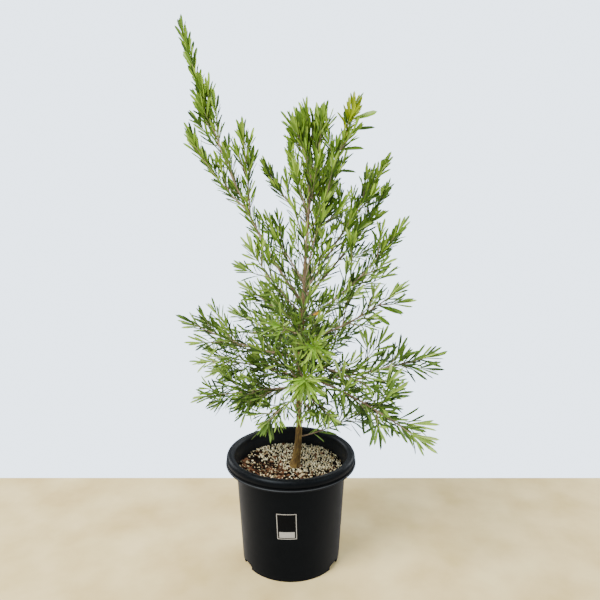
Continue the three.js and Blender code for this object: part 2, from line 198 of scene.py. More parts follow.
# %% [markdown]
# ## Materials are small recipes
#
# Every finish below is a Principled shader fed by a few texture nodes. Wiring nodes by hand is wordy, so one
# helper adds a node, sets its options and connects whatever is passed as a socket. Two effects turn up on
# several finishes: uneven tone, on bark, grit and soil, and settled dust, on the pot and its label. Each is
# built once as a node group with named inputs, so it can be placed again with other values. The dust lies
# thickest on faces that point up, and there it is also a painted sheen.


# %% Helpers for node trees
def feed(tree, socket, value):
    """Connects a socket, or sets a plain value."""
    if isinstance(value, bpy.types.NodeSocket):
        tree.links.new(value, socket)
    else:
        socket.default_value = value


def add_node(tree, kind, **values):
    """Adds a node. Names with a capital letter are its inputs, and the others its settings."""
    node = tree.nodes.new(kind)
    for name, value in sorted(values.items(), key=lambda item: item[0][0].isupper()):
        if name[0].isupper():
            feed(tree, node.inputs[name.replace("_", " ")], value)
        else:
            setattr(node, name, value)
    return node


def calculate(tree, operation, *values, kind="Math"):
    node = add_node(tree, "ShaderNode" + kind, operation=operation)
    for socket, value in zip([s for s in node.inputs if s.enabled], values):
        feed(tree, socket, value)
    return next(s for s in node.outputs if s.enabled)


def on_vectors(tree, operation, *values):
    return calculate(tree, operation, *values, kind="VectorMath")


def part_of(tree, vector, axis):
    return add_node(tree, "ShaderNodeSeparateXYZ", Vector=vector).outputs[axis]


def noise_at(tree, place, scale, detail):
    return add_node(tree, "ShaderNodeTexNoise", Vector=place, Scale=scale, Detail=detail).outputs[0]


def blend_colour(tree, amount, under, over):
    return add_node(tree, "ShaderNodeMix", data_type="RGBA", Factor=amount, A=under, B=over).outputs["Result"]


def remap(tree, value, low, high, new_low=0.0, new_high=1.0):
    ends = {"From_Min": low, "From_Max": high, "To_Min": new_low, "To_Max": new_high}
    return add_node(tree, "ShaderNodeMapRange", Value=value, **ends).outputs[0]


def new_group(name, kind, inputs, outputs):
    """A node group. Each socket is given by its kind, or by the number that it starts from."""
    tree = bpy.data.node_groups.new(name, kind)
    for way, sockets in (("INPUT", inputs), ("OUTPUT", outputs)):
        for label, start in sockets.items():
            socket_kind = "NodeSocket" + {float: "Float", int: "Int"}.get(type(start), start)
            socket = tree.interface.new_socket(name=label, in_out=way, socket_type=socket_kind)
            if not isinstance(start, str):
                socket.default_value = start
    return tree, tree.nodes.new("NodeGroupInput").outputs, tree.nodes.new("NodeGroupOutput").inputs


# %% The two shared effects
def make_tone_group():
    tree, given, result = new_group(
        "uneven_tone",
        "ShaderNodeTree",
        {"Place": "Vector", "Size": 0.01, "Dark": "Color", "Light": "Color"},
        {"Colour": "Color", "Height": "Float"},
    )
    patches = noise_at(tree, given["Place"], calculate(tree, "DIVIDE", 1.0, given["Size"]), 6.0)
    amount = remap(tree, patches, 0.33, 0.67)
    feed(tree, result["Colour"], blend_colour(tree, amount, given["Dark"], given["Light"]))
    feed(tree, result["Height"], patches)
    return tree


def make_dust_and_sheen_group():
    tree, given, result = new_group(
        "dust_and_top_sheen",
        "ShaderNodeTree",
        {"Place": "Vector", "Size": 0.01, "Amount": 0.3, "Splash Height": 0.07},
        {"Mask": "Float"},
    )
    specks = noise_at(tree, given["Place"], calculate(tree, "DIVIDE", 1.0, given["Size"]), 8.0)
    # Dust lies thickest on faces that point up; this weighting also paints a grey sheen on top of the pot's
    # rim.
    facing_up = part_of(tree, add_node(tree, "ShaderNodeNewGeometry").outputs["Normal"], "Z")
    splash = remap(tree, part_of(tree, given["Place"], "Z"), 0.0, given["Splash Height"], 0.1, 0.0)
    dust_and_sheen_weight = calculate(tree, "ADD", calculate(tree, "MULTIPLY_ADD", facing_up, 0.95, 0.05), splash)
    thick = remap(tree, specks, 0.42, 0.7)
    mask = calculate(tree, "MULTIPLY", calculate(tree, "MULTIPLY", thick, dust_and_sheen_weight), given["Amount"])
    feed(tree, result["Mask"], mask)
    return tree


UNEVEN_TONE = make_tone_group()
DUST_AND_TOP_SHEEN = make_dust_and_sheen_group()
print("shared effects:", UNEVEN_TONE.name, DUST_AND_TOP_SHEEN.name)


# %% Helpers for finishes
def new_finish(name, **plain):
    """A material with a Principled shader. Plain values go straight to the shader's own sockets."""
    finish = bpy.data.materials.new(name)
    finish.use_nodes = True
    shader = finish.node_tree.nodes["Principled BSDF"]
    for label, value in plain.items():
        shader.inputs[label.replace("_", " ")].default_value = value
    return finish, finish.node_tree, shader


def object_place(tree):
    return add_node(tree, "ShaderNodeTexCoord").outputs["Object"]


def tone_at(tree, place, size, dark, light):
    """Uneven tone in patches of a size in metres, as a colour and a height to roughen the surface by."""
    colours = {"Dark": (*dark, 1), "Light": (*light, 1)}
    return add_node(tree, "ShaderNodeGroup", node_tree=UNEVEN_TONE, Place=place, Size=size, **colours).outputs


def dust_and_sheen_at(tree, place, **values):
    """How much dust lies on a place, from 0 to 1, most on faces that point up, where it is also a painted
    sheen.
    """
    return add_node(tree, "ShaderNodeGroup", node_tree=DUST_AND_TOP_SHEEN, Place=place, **values).outputs["Mask"]


def roughen(tree, shader, height, depth):
    bump = add_node(tree, "ShaderNodeBump", Strength=1.0, Distance=depth, Height=height)
    feed(tree, shader.inputs["Normal"], bump.outputs[0])


def patchy_finish(name, size, dark, light, depth, roughness):
    """A dry finish of two tones, with the light patches standing out by a depth in metres."""
    finish, tree, shader = new_finish(name, Roughness=roughness, Specular_IOR_Level=0.06)
    tone = tone_at(tree, object_place(tree), size, dark, light)
    feed(tree, shader.inputs["Base Color"], tone["Colour"])
    roughen(tree, shader, tone["Height"], depth)
    return finish


# %% [markdown]
# ## The floor
#
# The floor is only a stage. A wide pale slab with faint clouds in it catches the soft shadow under the pot.
# It ends a step behind the plant, so the thin leaves stand against the plain sky and every gap in the crown
# shows. A wall would do that too, but it would hide the plant from behind.

# %% Lay the floor
FLOOR_SIDE = 4.0
FLOOR_BACK = 0.36
FLOOR_BOUNCE = (0.62, 0.57, 0.5, 1)  # greyer in reflections, so that black plastic stays black


def make_floor():
    corners = [(-FLOOR_SIDE, -FLOOR_SIDE, 0), (FLOOR_SIDE, -FLOOR_SIDE, 0)]
    corners += [(FLOOR_SIDE, FLOOR_BACK, 0), (-FLOOR_SIDE, FLOOR_BACK, 0)]
    finish, tree, shader = new_finish("pale_concrete", Roughness=0.8)
    tone = tone_at(tree, object_place(tree), 0.16, (0.74, 0.55, 0.22), (0.97, 0.78, 0.38))
    seen = add_node(tree, "ShaderNodeLightPath").outputs["Is Camera Ray"]
    feed(tree, shader.inputs["Base Color"], blend_colour(tree, seen, FLOOR_BOUNCE, tone["Colour"]))
    new_piece("floor", corners, [(0, 1, 2, 3)], finish)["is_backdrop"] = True


make_floor()
print("floor reaches", FLOOR_BACK, "m behind the plant")

# %% [markdown]
# ## The pot
#
# A nursery pot is moulded in one piece: a plain tapered wall, and a thick rolled rim with a thin lip below
# it that hands and stacking machines take hold of. Anything round about one axis is turned, so the wall and
# rim are one section swept round in steps. The section is written in millimetres, as a turner would draw it,
# and its round stretches are arcs. Three slots are cut through the bottom corner to let water out. A
# Boolean cut follows the curved wall exactly, which would be hard to do by moving points.

# %% The pot's sizes and section
FOOT_RADIUS = 113.3
NECK_RADIUS = 125.9
NECK_HEIGHT = 232
RIM_RADIUS = 149.5
WALL = 2.4
FLOOR_THICK = 4
POT_STEPS = 180


def wall_radius(height):
    return FOOT_RADIUS + (NECK_RADIUS - FOOT_RADIUS) * height / NECK_HEIGHT


def arc(centre, radii, start, end, steps):
    """Points on an oval arc. The angles are in degrees from outwards, with 90 pointing up."""
    turns = np.radians(np.linspace(start, end, steps))
    return [(centre[0] + radii[0] * math.cos(t), centre[1] + radii[1] * math.sin(t)) for t in turns]


def pot_section():
    foot = [(0, 0), (60, 0)] + arc((FOOT_RADIUS - 1.8, 1.8), (1.8, 1.8), -90, 0, 5)
    wall = [(wall_radius(z), z) for z in (15, 60, 120, 180, 225)]
    shoulder = [(NECK_RADIUS - 0.2, 229.5), (NECK_RADIUS + 1.2, 231.5), (NECK_RADIUS + 4, NECK_HEIGHT)]
    lip = [(RIM_RADIUS - 6, NECK_HEIGHT + 0.3)]
    lip += arc((RIM_RADIUS - 2.3, NECK_HEIGHT + 3), (2.3, 2.5), -80, 80, 8)
    groove = [(RIM_RADIUS - 4.2, NECK_HEIGHT + 6.2), (RIM_RADIUS - 4.6, NECK_HEIGHT + 7.6)]
    roll = arc((RIM_RADIUS - 11.4, NECK_HEIGHT + 15), (9.7, 11), -50, 176, 26)
    inside = [(RIM_RADIUS - 21.6, 243.5), (RIM_RADIUS - 24, 236), (NECK_RADIUS - WALL - 0.6, 226)]
    inside += [(wall_radius(z) - WALL, z) for z in (200, 120, 40, FLOOR_THICK + 2)]
    inside += [(wall_radius(FLOOR_THICK) - WALL - 2, FLOOR_THICK), (0, FLOOR_THICK)]
    return foot + wall + shoulder + lip + groove + roll + inside


# %% Helpers that turn a section and finish a mesh
def turned(name, section, steps, finish):
    """Sweeps [radius, height] points, which start and end on the axis, once round."""
    turns = [2 * math.pi * k / steps for k in range(steps)]
    vertices = [(0, 0, section[0][1] * MM)]
    for radius, height in section[1:-1]:
        vertices += [(radius * MM * math.cos(t), radius * MM * math.sin(t), height * MM) for t in turns]
    vertices.append((0, 0, section[-1][1] * MM))
    rings = len(section) - 2
    faces = []
    for k in range(steps):
        after = (k + 1) % steps
        faces.append((0, 1 + after, 1 + k))
        for low in range(1, 1 + (rings - 1) * steps, steps):
            high = low + steps
            faces.append((low + k, low + after, high + after, high + k))
        top = 1 + (rings - 1) * steps
        faces.append((top + k, top + after, len(vertices) - 1))
    return new_piece(name, vertices, faces, finish)


def apply_modifiers(piece):
    """Replaces a piece's mesh by what its modifiers make of it."""
    bpy.context.view_layer.update()
    graph = bpy.context.evaluated_depsgraph_get()
    evaluated = piece.evaluated_get(graph)
    mesh = bpy.data.meshes.new_from_object(evaluated, preserve_all_data_layers=True, depsgraph=graph)
    piece.modifiers.clear()
    piece.data = mesh
    return piece


def smooth(piece, sharpest=40):
    """Shades a piece smooth, except along edges sharper than so many degrees."""
    piece.data.shade_smooth()
    piece.data.set_sharp_from_angle(angle=math.radians(sharpest))
    return piece


def stands_for(piece, slot, *nodes):
    """Fixes a finished piece to the object and hides the solids that it takes the place of."""
    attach(piece, "root")
    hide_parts(*nodes)
    print(piece.name, "faces:", len(piece.data.polygons))


# %% [markdown]
# ## Black plastic
#
# Polypropylene straight from the mould is satin: it has a soft, wide highlight, a faint cloudiness where it
# cooled unevenly, and it picks up dust, most of all on top of the rim and where rain splashes the foot. A
# dark base colour with a middling roughness gives the highlight, and the shared dust group adds the dust in
# a bluish grey, which on the rim's top is also a painted sheen. Two more masks come from the place on the
# pot: a pale line along the thin lip is a painted highlight, and painted light greys the inside of the wall.


# %% Mix the pot's plastic
LIP_HIGHLIGHT_HEIGHT = NECK_HEIGHT + 4.4  # of the middle of the thin lip, along which a pale line is painted as a highlight
LIP_HIGHLIGHT_HALF_WIDTH = 1.2
LIP_HIGHLIGHT_REACH = (142, 147)  # the painted highlight fades in between these radii
# How far the inside of the wall is lightened, as painted light.
INNER_PAINTED_LIGHT = 0.085
# A bluish grey: dust, and also the painted sheen on the rim, the painted highlight on the lip and the painted
# light inside.
PLASTIC_DUST_AND_PAINTED_LIGHT = (0.12, 0.125, 0.13, 1)
PLASTIC_SHEEN = (0.75, 0.88, 1, 1)


def make_pot_plastic():
    finish, tree, shader = new_finish(
        "satin_black_plastic", Specular_IOR_Level=0.11, Specular_Tint=PLASTIC_SHEEN
    )
    place = object_place(tree)
    tone = tone_at(tree, place, 0.03, (0.0004, 0.0005, 0.0006), (0.0012, 0.0014, 0.0016))
    dust = dust_and_sheen_at(tree, place, Size=0.002, Amount=0.12, Splash_Height=0.03)
    # Dust, which on faces that point up is also a painted sheen.
    dust_and_sheen_colour = blend_colour(tree, dust, tone["Colour"], PLASTIC_DUST_AND_PAINTED_LIGHT)
    # A pale line painted along the thin lip as a highlight.
    above_lip = calculate(tree, "SUBTRACT", part_of(tree, place, "Z"), LIP_HIGHLIGHT_HEIGHT * MM)
    lip_highlight_band = remap(tree, calculate(tree, "ABSOLUTE", above_lip), 0.0, LIP_HIGHLIGHT_HALF_WIDTH * MM, 0.5, 0.0)
    level = on_vectors(tree, "MULTIPLY", place, (1, 1, 0))
    radius = on_vectors(tree, "LENGTH", level)
    normal = add_node(tree, "ShaderNodeNewGeometry").outputs["Normal"]
    outwards = calculate(tree, "DIVIDE", on_vectors(tree, "DOT_PRODUCT", normal, level), radius)
    lip = calculate(tree, "MULTIPLY", lip_highlight_band, remap(tree, radius, *(reach * MM for reach in LIP_HIGHLIGHT_REACH)))
    # Painted light: faces turned in towards the axis, the inside of the wall, are lightened towards bluish
    # grey.
    inward_painted_light = remap(tree, outwards, -0.7, -0.1, INNER_PAINTED_LIGHT, 0.0)
    with_painted_light = blend_colour(tree, calculate(tree, "ADD", lip, inward_painted_light), dust_and_sheen_colour, PLASTIC_DUST_AND_PAINTED_LIGHT)
    feed(tree, shader.inputs["Base Color"], with_painted_light)
    dull = calculate(tree, "MULTIPLY_ADD", dust, 0.5, 0.33)
    feed(tree, shader.inputs["Roughness"], calculate(tree, "MULTIPLY_ADD", tone["Height"], 0.12, dull))
    roughen(tree, shader, noise_at(tree, place, 900.0, 2.0), 0.00006)
    return finish


POT_PLASTIC = make_pot_plastic()
print("pot section points:", len(pot_section()))

# %% Turn the pot and cut its slots
SLOT_COUNT = 3
SLOT_WIDTH = 34
SLOT_HEIGHT = 11
SLOT_DEPTH = 6.5  # in from the foot's outside
SLOT_CORNER = 3


def slot_cutter(turn):
    """A block across the bottom corner of the wall, with its corners rounded."""
    shape = bmesh.new()
    bmesh.ops.create_cube(shape, size=1)
    shape.transform(Matrix.Diagonal((2 * SLOT_DEPTH * MM, SLOT_WIDTH * MM, 2 * SLOT_HEIGHT * MM, 1)))
    through = [e for e in shape.edges if abs(e.verts[0].co.x - e.verts[1].co.x) > SLOT_DEPTH * MM]
    bmesh.ops.bevel(shape, geom=through, offset=SLOT_CORNER * MM, segments=4, affect="EDGES")
    shape.transform(Matrix.Rotation(turn, 4, "Z") @ Matrix.Translation((FOOT_RADIUS * MM, 0, 0)))
    return link(bpy.data.objects.new("slot", mesh_of(shape, "slot")))


def make_pot():
    pot = turned("pot_shell", pot_section(), POT_STEPS, POT_PLASTIC)
    for k in range(SLOT_COUNT):
        cutter = slot_cutter(math.pi / 2 + 2 * math.pi * k / SLOT_COUNT)
        cut = pot.modifiers.new("slot", "BOOLEAN")
        cut.object = cutter
        cut.operation = "DIFFERENCE"
        apply_modifiers(pot)
        bpy.data.objects.remove(cutter)
    stands_for(smooth(pot), "pot_plastic", "pot")


make_pot()

# %% [markdown]
# ## The potting mix
#
# Under the loose top is dark damp soil. It is one solid with a lumpy top that fills the pot, and what lies
# on it is scattered afterwards. The lumps come from noise in the mesh itself, because the low camera sees
# them from the side, where a bump in the material would look flat.

# %% The bed of soil
SOIL_HEIGHT = 222
SOIL_FLAT_RADIUS = 70  # level around the trunk, then falling a little to the wall
SOIL_FALL = 5
SOIL_BACK_FILL = 0.9  # the falling rim is filled up again by this share at the back
SOIL_SUNK = 3.5  # the soil lies this far under the tops of the grit
SOIL_GAP = 0.3
SOIL_STEPS = 120
LUMP_WIDTH = 26
LUMP_HEIGHT = 1.8


def soil_top(x, y):
    """The height of the soil at a place, in millimetres."""
    away = math.hypot(x, y)
    edge = wall_radius(SOIL_HEIGHT) - WALL
    fall = SOIL_FALL * max(0, (away - SOIL_FLAT_RADIUS) / (edge - SOIL_FLAT_RADIUS))
    fall *= 1 - SOIL_BACK_FILL * clamp(y / SOIL_FLAT_RADIUS)
    lumps = noise.fractal(Vector((x, y, 0)) / LUMP_WIDTH, 0.8, 2.1, 4)
    return SOIL_HEIGHT - SOIL_SUNK - fall + LUMP_HEIGHT * lumps


SOIL = patchy_finish("damp_soil", 0.004, (0.002, 0.0015, 0.001), (0.014, 0.009, 0.006), 0.0015, 0.92)


def make_soil_bed():
    edge = wall_radius(SOIL_HEIGHT) - WALL - SOIL_GAP
    bottom = FLOOR_THICK + SOIL_GAP
    foot = wall_radius(bottom) - WALL - SOIL_GAP - 2
    section = [(0, bottom), (foot, bottom), (edge, SOIL_HEIGHT - 10)]
    section += [(edge * (1 - k / 40), SOIL_HEIGHT) for k in range(40)] + [(0, SOIL_HEIGHT)]
    bed = turned("soil_bed", section, SOIL_STEPS, SOIL)
    for vertex in bed.data.vertices:
        if vertex.co.z > (SOIL_HEIGHT - 1) * MM:
            vertex.co.z = soil_top(vertex.co.x / MM, vertex.co.y / MM) * MM
    stands_for(smooth(bed, 80), "potting_mix", "potting_mix")
    return bed


soil_bed = make_soil_bed()

# %% [markdown]
# ## Grit, chips and crumbs
#
# On top lie pale pumice, tan grit and slivers, reddish bark chips and dark crumbs. They repeat by the
# thousand, so they are scattered by Geometry Nodes: points are spread on the soil's surface, each gets one
# of a few shapes with its own turn and size, and the result is made real. One tree with named inputs
# serves all five layers. The shapes are small hulls round random points, which gives flat, crushed faces
# as on real grit at a cost of a few dozen faces each. How thickly each kind lies is stored on the soil's
# surface: the chips have gathered in front and to the left, and pumice fills the rest.


# %% Make the grain shapes
def hull_shape(name, size, seed, points):
    """A crushed-looking grain: the hull round random points in an oval of the given size."""
    draw = np.random.default_rng(seed)
    shape = bmesh.new()
    for _ in range(points):
        way = Vector(draw.normal(size=3)).normalized() * draw.uniform(0.82, 1.0)
        shape.verts.new([way[k] * size[k] / 2 for k in range(3)])
    bmesh.ops.convex_hull(shape, input=shape.verts)
    inner = [v for v in shape.verts if not v.link_faces]
    bmesh.ops.delete(shape, geom=inner, context="VERTS")
    bmesh.ops.recalc_face_normals(shape, faces=shape.faces)
    return bpy.data.objects.new(name, mesh_of(shape, name))


def shape_box(name, shapes):
    """A collection that Geometry Nodes can pick shapes from. It is kept out of the scene."""
    box = bpy.data.collections.new(name)
    for shape in shapes:
        box.objects.link(shape)
    return box


granules = [hull_shape(f"granule_{k}", (1, 0.88 - 0.06 * k, 0.75 - 0.05 * k), 40 + k, 11) for k in range(6)]
chips = [hull_shape(f"chip_{k}", (1, 0.3 + 0.08 * k, 0.16), 60 + k, 18) for k in range(6)]
GRANULES, CHIPS = shape_box("granules", granules), shape_box("chips", chips)
print("shapes:", len(granules), "granules and", len(chips), "chips")


# %% Helpers for geometry trees
def named(tree, name, kind="FLOAT"):
    """A value that is stored on the mesh under this name."""
    return add_node(tree, "GeometryNodeInputNamedAttribute", data_type=kind, Name=name).outputs["Attribute"]


def set_shapes(tree, box, points, **values):
    """Sets one of a box of shapes on every point."""
    shapes = add_node(
        tree, "GeometryNodeCollectionInfo", Collection=box, Separate_Children=True, Reset_Children=True
    )
    values |= {"Points": points, "Instance": shapes.outputs[0], "Pick_Instance": True}
    return add_node(tree, "GeometryNodeInstanceOnPoints", **values).outputs[0]


def made_real(tree, instances):
    return add_node(tree, "GeometryNodeRealizeInstances", Geometry=instances).outputs[0]


def coated(tree, geometry, finish, **where):
    return add_node(tree, "GeometryNodeSetMaterial", Geometry=geometry, Material=finish, **where).outputs[0]


# %% Build the scattering tree
def make_scatter_tree():
    tree, given, result = new_group(
        "scatter_grains",
        "GeometryNodeTree",
        {
            "Ground": "Geometry", "Share": "String", "Spacing": 0.004, "Most": 20000.0, "Smallest": 0.004,
            "Largest": 0.01, "Lift": 0.001, "Tilt": math.pi, "Seed": 1, "Shapes": "Collection",
            "Finish": "Material",
        },
        {"Grains": "Geometry"},
    )
    points = add_node(
        tree, "GeometryNodeDistributePointsOnFaces", distribute_method="POISSON", Mesh=given["Ground"],
        Distance_Min=given["Spacing"], Density_Max=given["Most"],
        Density_Factor=named(tree, given["Share"]), Seed=given["Seed"],
    ).outputs["Points"]
    tilt_back = calculate(tree, "MULTIPLY", given["Tilt"], -1.0)
    low, high = (
        add_node(tree, "ShaderNodeCombineXYZ", X=tilt, Y=tilt, Z=turn).outputs[0]
        for tilt, turn in ((tilt_back, -math.pi), (given["Tilt"], math.pi))
    )
    turn, size = (
        add_node(tree, "FunctionNodeRandomValue", data_type=kind, Min=least, Max=most, Seed=given["Seed"])
        for kind, least, most in (
            ("FLOAT_VECTOR", low, high), ("FLOAT", given["Smallest"], given["Largest"]),
        )
    )
    placed = set_shapes(
        tree, given["Shapes"], points, Rotation=turn.outputs["Value"], Scale=size.outputs["Value"]
    )
    lift = add_node(tree, "ShaderNodeCombineXYZ", Z=given["Lift"]).outputs[0]
    moved = add_node(
        tree, "GeometryNodeTranslateInstances", Instances=placed, Translation=lift, Local_Space=False
    )
    feed(tree, result["Grains"], coated(tree, made_real(tree, moved.outputs[0]), given["Finish"]))
    return tree


def run_tree(name, source, tree, **inputs):
    """Runs a tree on a mesh and keeps what it makes as a plain piece."""
    piece = link(bpy.data.objects.new(name, source))
    modifier = piece.modifiers.new("tree", "NODES")
    modifier.node_group = tree
    names = {s.name: s.identifier for s in tree.interface.items_tree if s.in_out == "INPUT"}
    for label, value in inputs.items():
        modifier[names[label.replace("_", " ")]] = value
    return apply_modifiers(piece)


SCATTER = make_scatter_tree()
print("scattering tree nodes:", len(SCATTER.nodes))


# %% Mix the finishes of the loose top
PUMICE = patchy_finish("cream_pumice", 0.005, (0.74, 0.62, 0.34), (1.0, 0.97, 0.72), 0.0008, 0.95)
TAN_GRIT = patchy_finish("tan_grit", 0.007, (0.20, 0.15, 0.07), (0.92, 0.76, 0.45), 0.0008, 0.95)
BARK_CHIP = patchy_finish("red_bark_chip", 0.009, (0.008, 0.004, 0.002), (0.17, 0.08, 0.04), 0.0008, 0.85)
CRUMB = patchy_finish("dark_crumb", 0.005, (0.001, 0.001, 0.001), (0.014, 0.009, 0.006), 0.0006, 0.9)
print("grain finishes:", PUMICE.name, TAN_GRIT.name, BARK_CHIP.name, CRUMB.name)

# %% Scatter the five layers
TOP_MARGIN = 3  # grains keep this far from the wall
PATCH_WIDTH = 34
SMALL_PATCH_WIDTH = 11
GATHER_WIDTH = 80  # from the middle of the pot to where a kind of grain is thickest
SHARES = ("pumice_share", "chip_share", "crumb_share")
LAYER_INPUTS = ("Finish", "Shapes", "Share", "Spacing", "Most", "Smallest", "Largest", "Lift", "Tilt", "Seed")
LAYERS = [  # in metres, with the most grains to a square metre and the tilt in radians
    ("soil_crumbs", CRUMB, GRANULES, "crumb_share", 0.0052, 30000.0, 0.0030, 0.0065, 0.0006, math.pi, 11),
    ("bark_chips", BARK_CHIP, CHIPS, "chip_share", 0.0062, 24000.0, 0.0080, 0.0240, 0.0020, 0.55, 12),
    ("tan_grit", TAN_GRIT, GRANULES, "pumice_share", 0.0050, 26000.0, 0.0036, 0.0088, 0.0022, math.pi, 14),
    ("tan_slivers", TAN_GRIT, CHIPS, "chip_share", 0.0066, 14000.0, 0.0060, 0.0150, 0.0028, 0.7, 15),
    ("pumice_grit", PUMICE, GRANULES, "pumice_share", 0.0038, 66000.0, 0.0024, 0.0078, 0.0030, math.pi, 13),
]


def shares_at(x, y):
    """How thickly pumice and tan grit, chips and crumbs lie at a place."""
    patch = noise.noise(Vector((x, y, 5)) / PATCH_WIDTH)
    small = noise.noise(Vector((x, y, 9)) / SMALL_PATCH_WIDTH)
    front = clamp((-0.2 * x - 0.95 * y) / GATHER_WIDTH, -1)
    left = clamp((-0.85 * x - 0.3 * y) / GATHER_WIDTH, -1)
    chips = clamp(0.36 + 0.8 * front + 0.1 * left + 0.55 * patch + 0.5 * small, 0.1)
    return clamp(1.1 - 0.85 * chips - 0.9 * max(0, left) + 0.9 * small, 0.1), chips, 0.8


def top_ground():
    """The soil's top as open ground, with the share of each kind of grain stored on it."""
    shape = bmesh.new()
    shape.from_mesh(soil_bed.data)
    low = [v for v in shape.verts if v.co.z < (SOIL_HEIGHT - 15) * MM]
    bmesh.ops.delete(shape, geom=low, context="VERTS")
    ground = mesh_of(shape, "top_ground")
    edge = wall_radius(SOIL_HEIGHT) - WALL - TOP_MARGIN
    places = [(v.co.x / MM, v.co.y / MM) for v in ground.vertices]
    shares = [[(math.hypot(x, y) < edge) * share for share in shares_at(x, y)] for x, y in places]
    for name, values in zip(SHARES, zip(*shares)):
        store_on(ground, name, values)
    return ground


for name, *values in LAYERS:
    grains = run_tree(name, top_ground(), SCATTER, **dict(zip(LAYER_INPUTS, values)))
    stands_for(grains, "potting_mix", "potting_mix")

# %% [markdown]
# ## The label
#
# A small sticker on the wall, black with a pale border and a blank pale panel at its foot. A sticker bends
# with the pot, so its outline is laid out flat in millimetres and every point is then wrapped round the
# cone. The lines between its colours are edges of the mesh, which keeps them crisp at any distance.

# %% Print and paste the label
LABEL_WIDTH = 45
LABEL_HEIGHT = 63
LABEL_CENTRE_HEIGHT = 139
LABEL_TURN = -3.6  # degrees from the front, towards -X
LABEL_TILT = 1.6  # degrees, pasted a little askew
LABEL_INNER = 0.1
LABEL_OUTER = 0.45
BORDER = (0.9, 2.5)  # how far in from the label's edge the pale line starts and ends
PANEL_SIDE = 5.6
PANEL_FOOT = 4.6
PANEL_TOP = 18.5
LABEL_DUST = (0.25, 0.22, 0.18, 1)


def make_label_finish(name, dark, light, roughness):
    finish, tree, shader = new_finish(name, Roughness=roughness, Specular_IOR_Level=0.05)
    place = object_place(tree)
    tone = tone_at(tree, place, 0.0016, dark, light)
    dust = dust_and_sheen_at(tree, place, Size=0.003, Amount=0.05, Splash_Height=0.06)
    feed(tree, shader.inputs["Base Color"], blend_colour(tree, dust, tone["Colour"], LABEL_DUST))
    roughen(tree, shader, tone["Height"], 0.00005)
    return finish


LABEL_BLACK = make_label_finish("label_black", (0.002, 0.002, 0.002), (0.005, 0.005, 0.005), 0.6)
LABEL_PALE = make_label_finish("label_pale", (0.42, 0.39, 0.33), (0.54, 0.51, 0.44), 0.5)


def wrapped(x, y, out):
    """A place on the flat label, in millimetres from its centre, wrapped round the pot's wall."""
    tilt = math.radians(LABEL_TILT)
    across = x * math.cos(tilt) - y * math.sin(tilt)
    height = LABEL_CENTRE_HEIGHT + x * math.sin(tilt) + y * math.cos(tilt)
    radius = wall_radius(height) + out
    turn = math.radians(LABEL_TURN - 90) + across / wall_radius(LABEL_CENTRE_HEIGHT)
    return Vector((radius * math.cos(turn), radius * math.sin(turn), height)) * MM


def label_lines():
    """Where the lines of the label's mesh run, across and up."""
    half_width, half_height = LABEL_WIDTH / 2, LABEL_HEIGHT / 2
    edges = [half_width - d for d in (0, *BORDER, PANEL_SIDE)]
    columns = sorted([-e for e in edges] + edges + list(range(-14, 15, 4)))
    rows = [d - half_height for d in (0, *BORDER, PANEL_FOOT, PANEL_TOP)]
    rows += [half_height - d for d in (40, 30, 20, 12, 6, BORDER[1], BORDER[0], 0)]
    return columns, rows


def is_pale(x, y):
    up, aside = y + LABEL_HEIGHT / 2, LABEL_WIDTH / 2 - abs(x)
    edge = min(aside, LABEL_HEIGHT / 2 - abs(y))
    return BORDER[0] < edge < BORDER[1] or (aside > PANEL_SIDE and PANEL_FOOT < up < PANEL_TOP)


def make_label():
    columns, rows = label_lines()
    wide, tall = len(columns), len(rows)
    vertices = [wrapped(x, y, out) for out in (LABEL_OUTER, LABEL_INNER) for y in rows for x in columns]
    faces, pale = [], []
    for j in range(tall - 1):
        for i in range(wide - 1):
            a = j * wide + i
            corners = (a, a + 1, a + 1 + wide, a + wide)
            faces += [corners, tuple(c + wide * tall for c in reversed(corners))]
            pale += [is_pale((columns[i] + columns[i + 1]) / 2, (rows[j] + rows[j + 1]) / 2), False]
    outline = list(range(wide)) + [j * wide + wide - 1 for j in range(1, tall)]
    outline += [(tall - 1) * wide + i for i in range(wide - 2, -1, -1)]
    outline += [j * wide for j in range(tall - 2, 0, -1)]
    for a, b in zip(outline, outline[1:] + outline[:1]):
        faces.append((b, a, a + wide * tall, b + wide * tall))
        pale.append(False)
    label = new_piece("label_sticker", vertices, faces, LABEL_BLACK, LABEL_PALE)
    label.data.polygons.foreach_set("material_index", [int(p) for p in pale])
    stands_for(smooth(label), "label_paper", "label")


make_label()

# %% [markdown]
# ## How the shrub grows
#
# The solids grew from two short tables and one rule, and the rule is repeated here so that twigs and leaves
# land where the solids have them. A limb leaves the trunk at its own height, runs out at its own rise, and
# bends towards its tip. Twigs and leaves stand round a stem, each a golden turn on from the last, wide open
# at its foot and closing at its tip, so that none shades the next. Each table row is a limb: its name, the
# height it leaves the trunk at, its tip, its rise in degrees, the share of it that is bare wood, its
# thickness, its number of twigs and the length of the first. All sizes are in millimetres. What is too thin
# for the solids is added to them: a few weak hanging shoots, fine twigs, leafy spurs straight from the trunk
# and dead twiglets on the tall left leader.

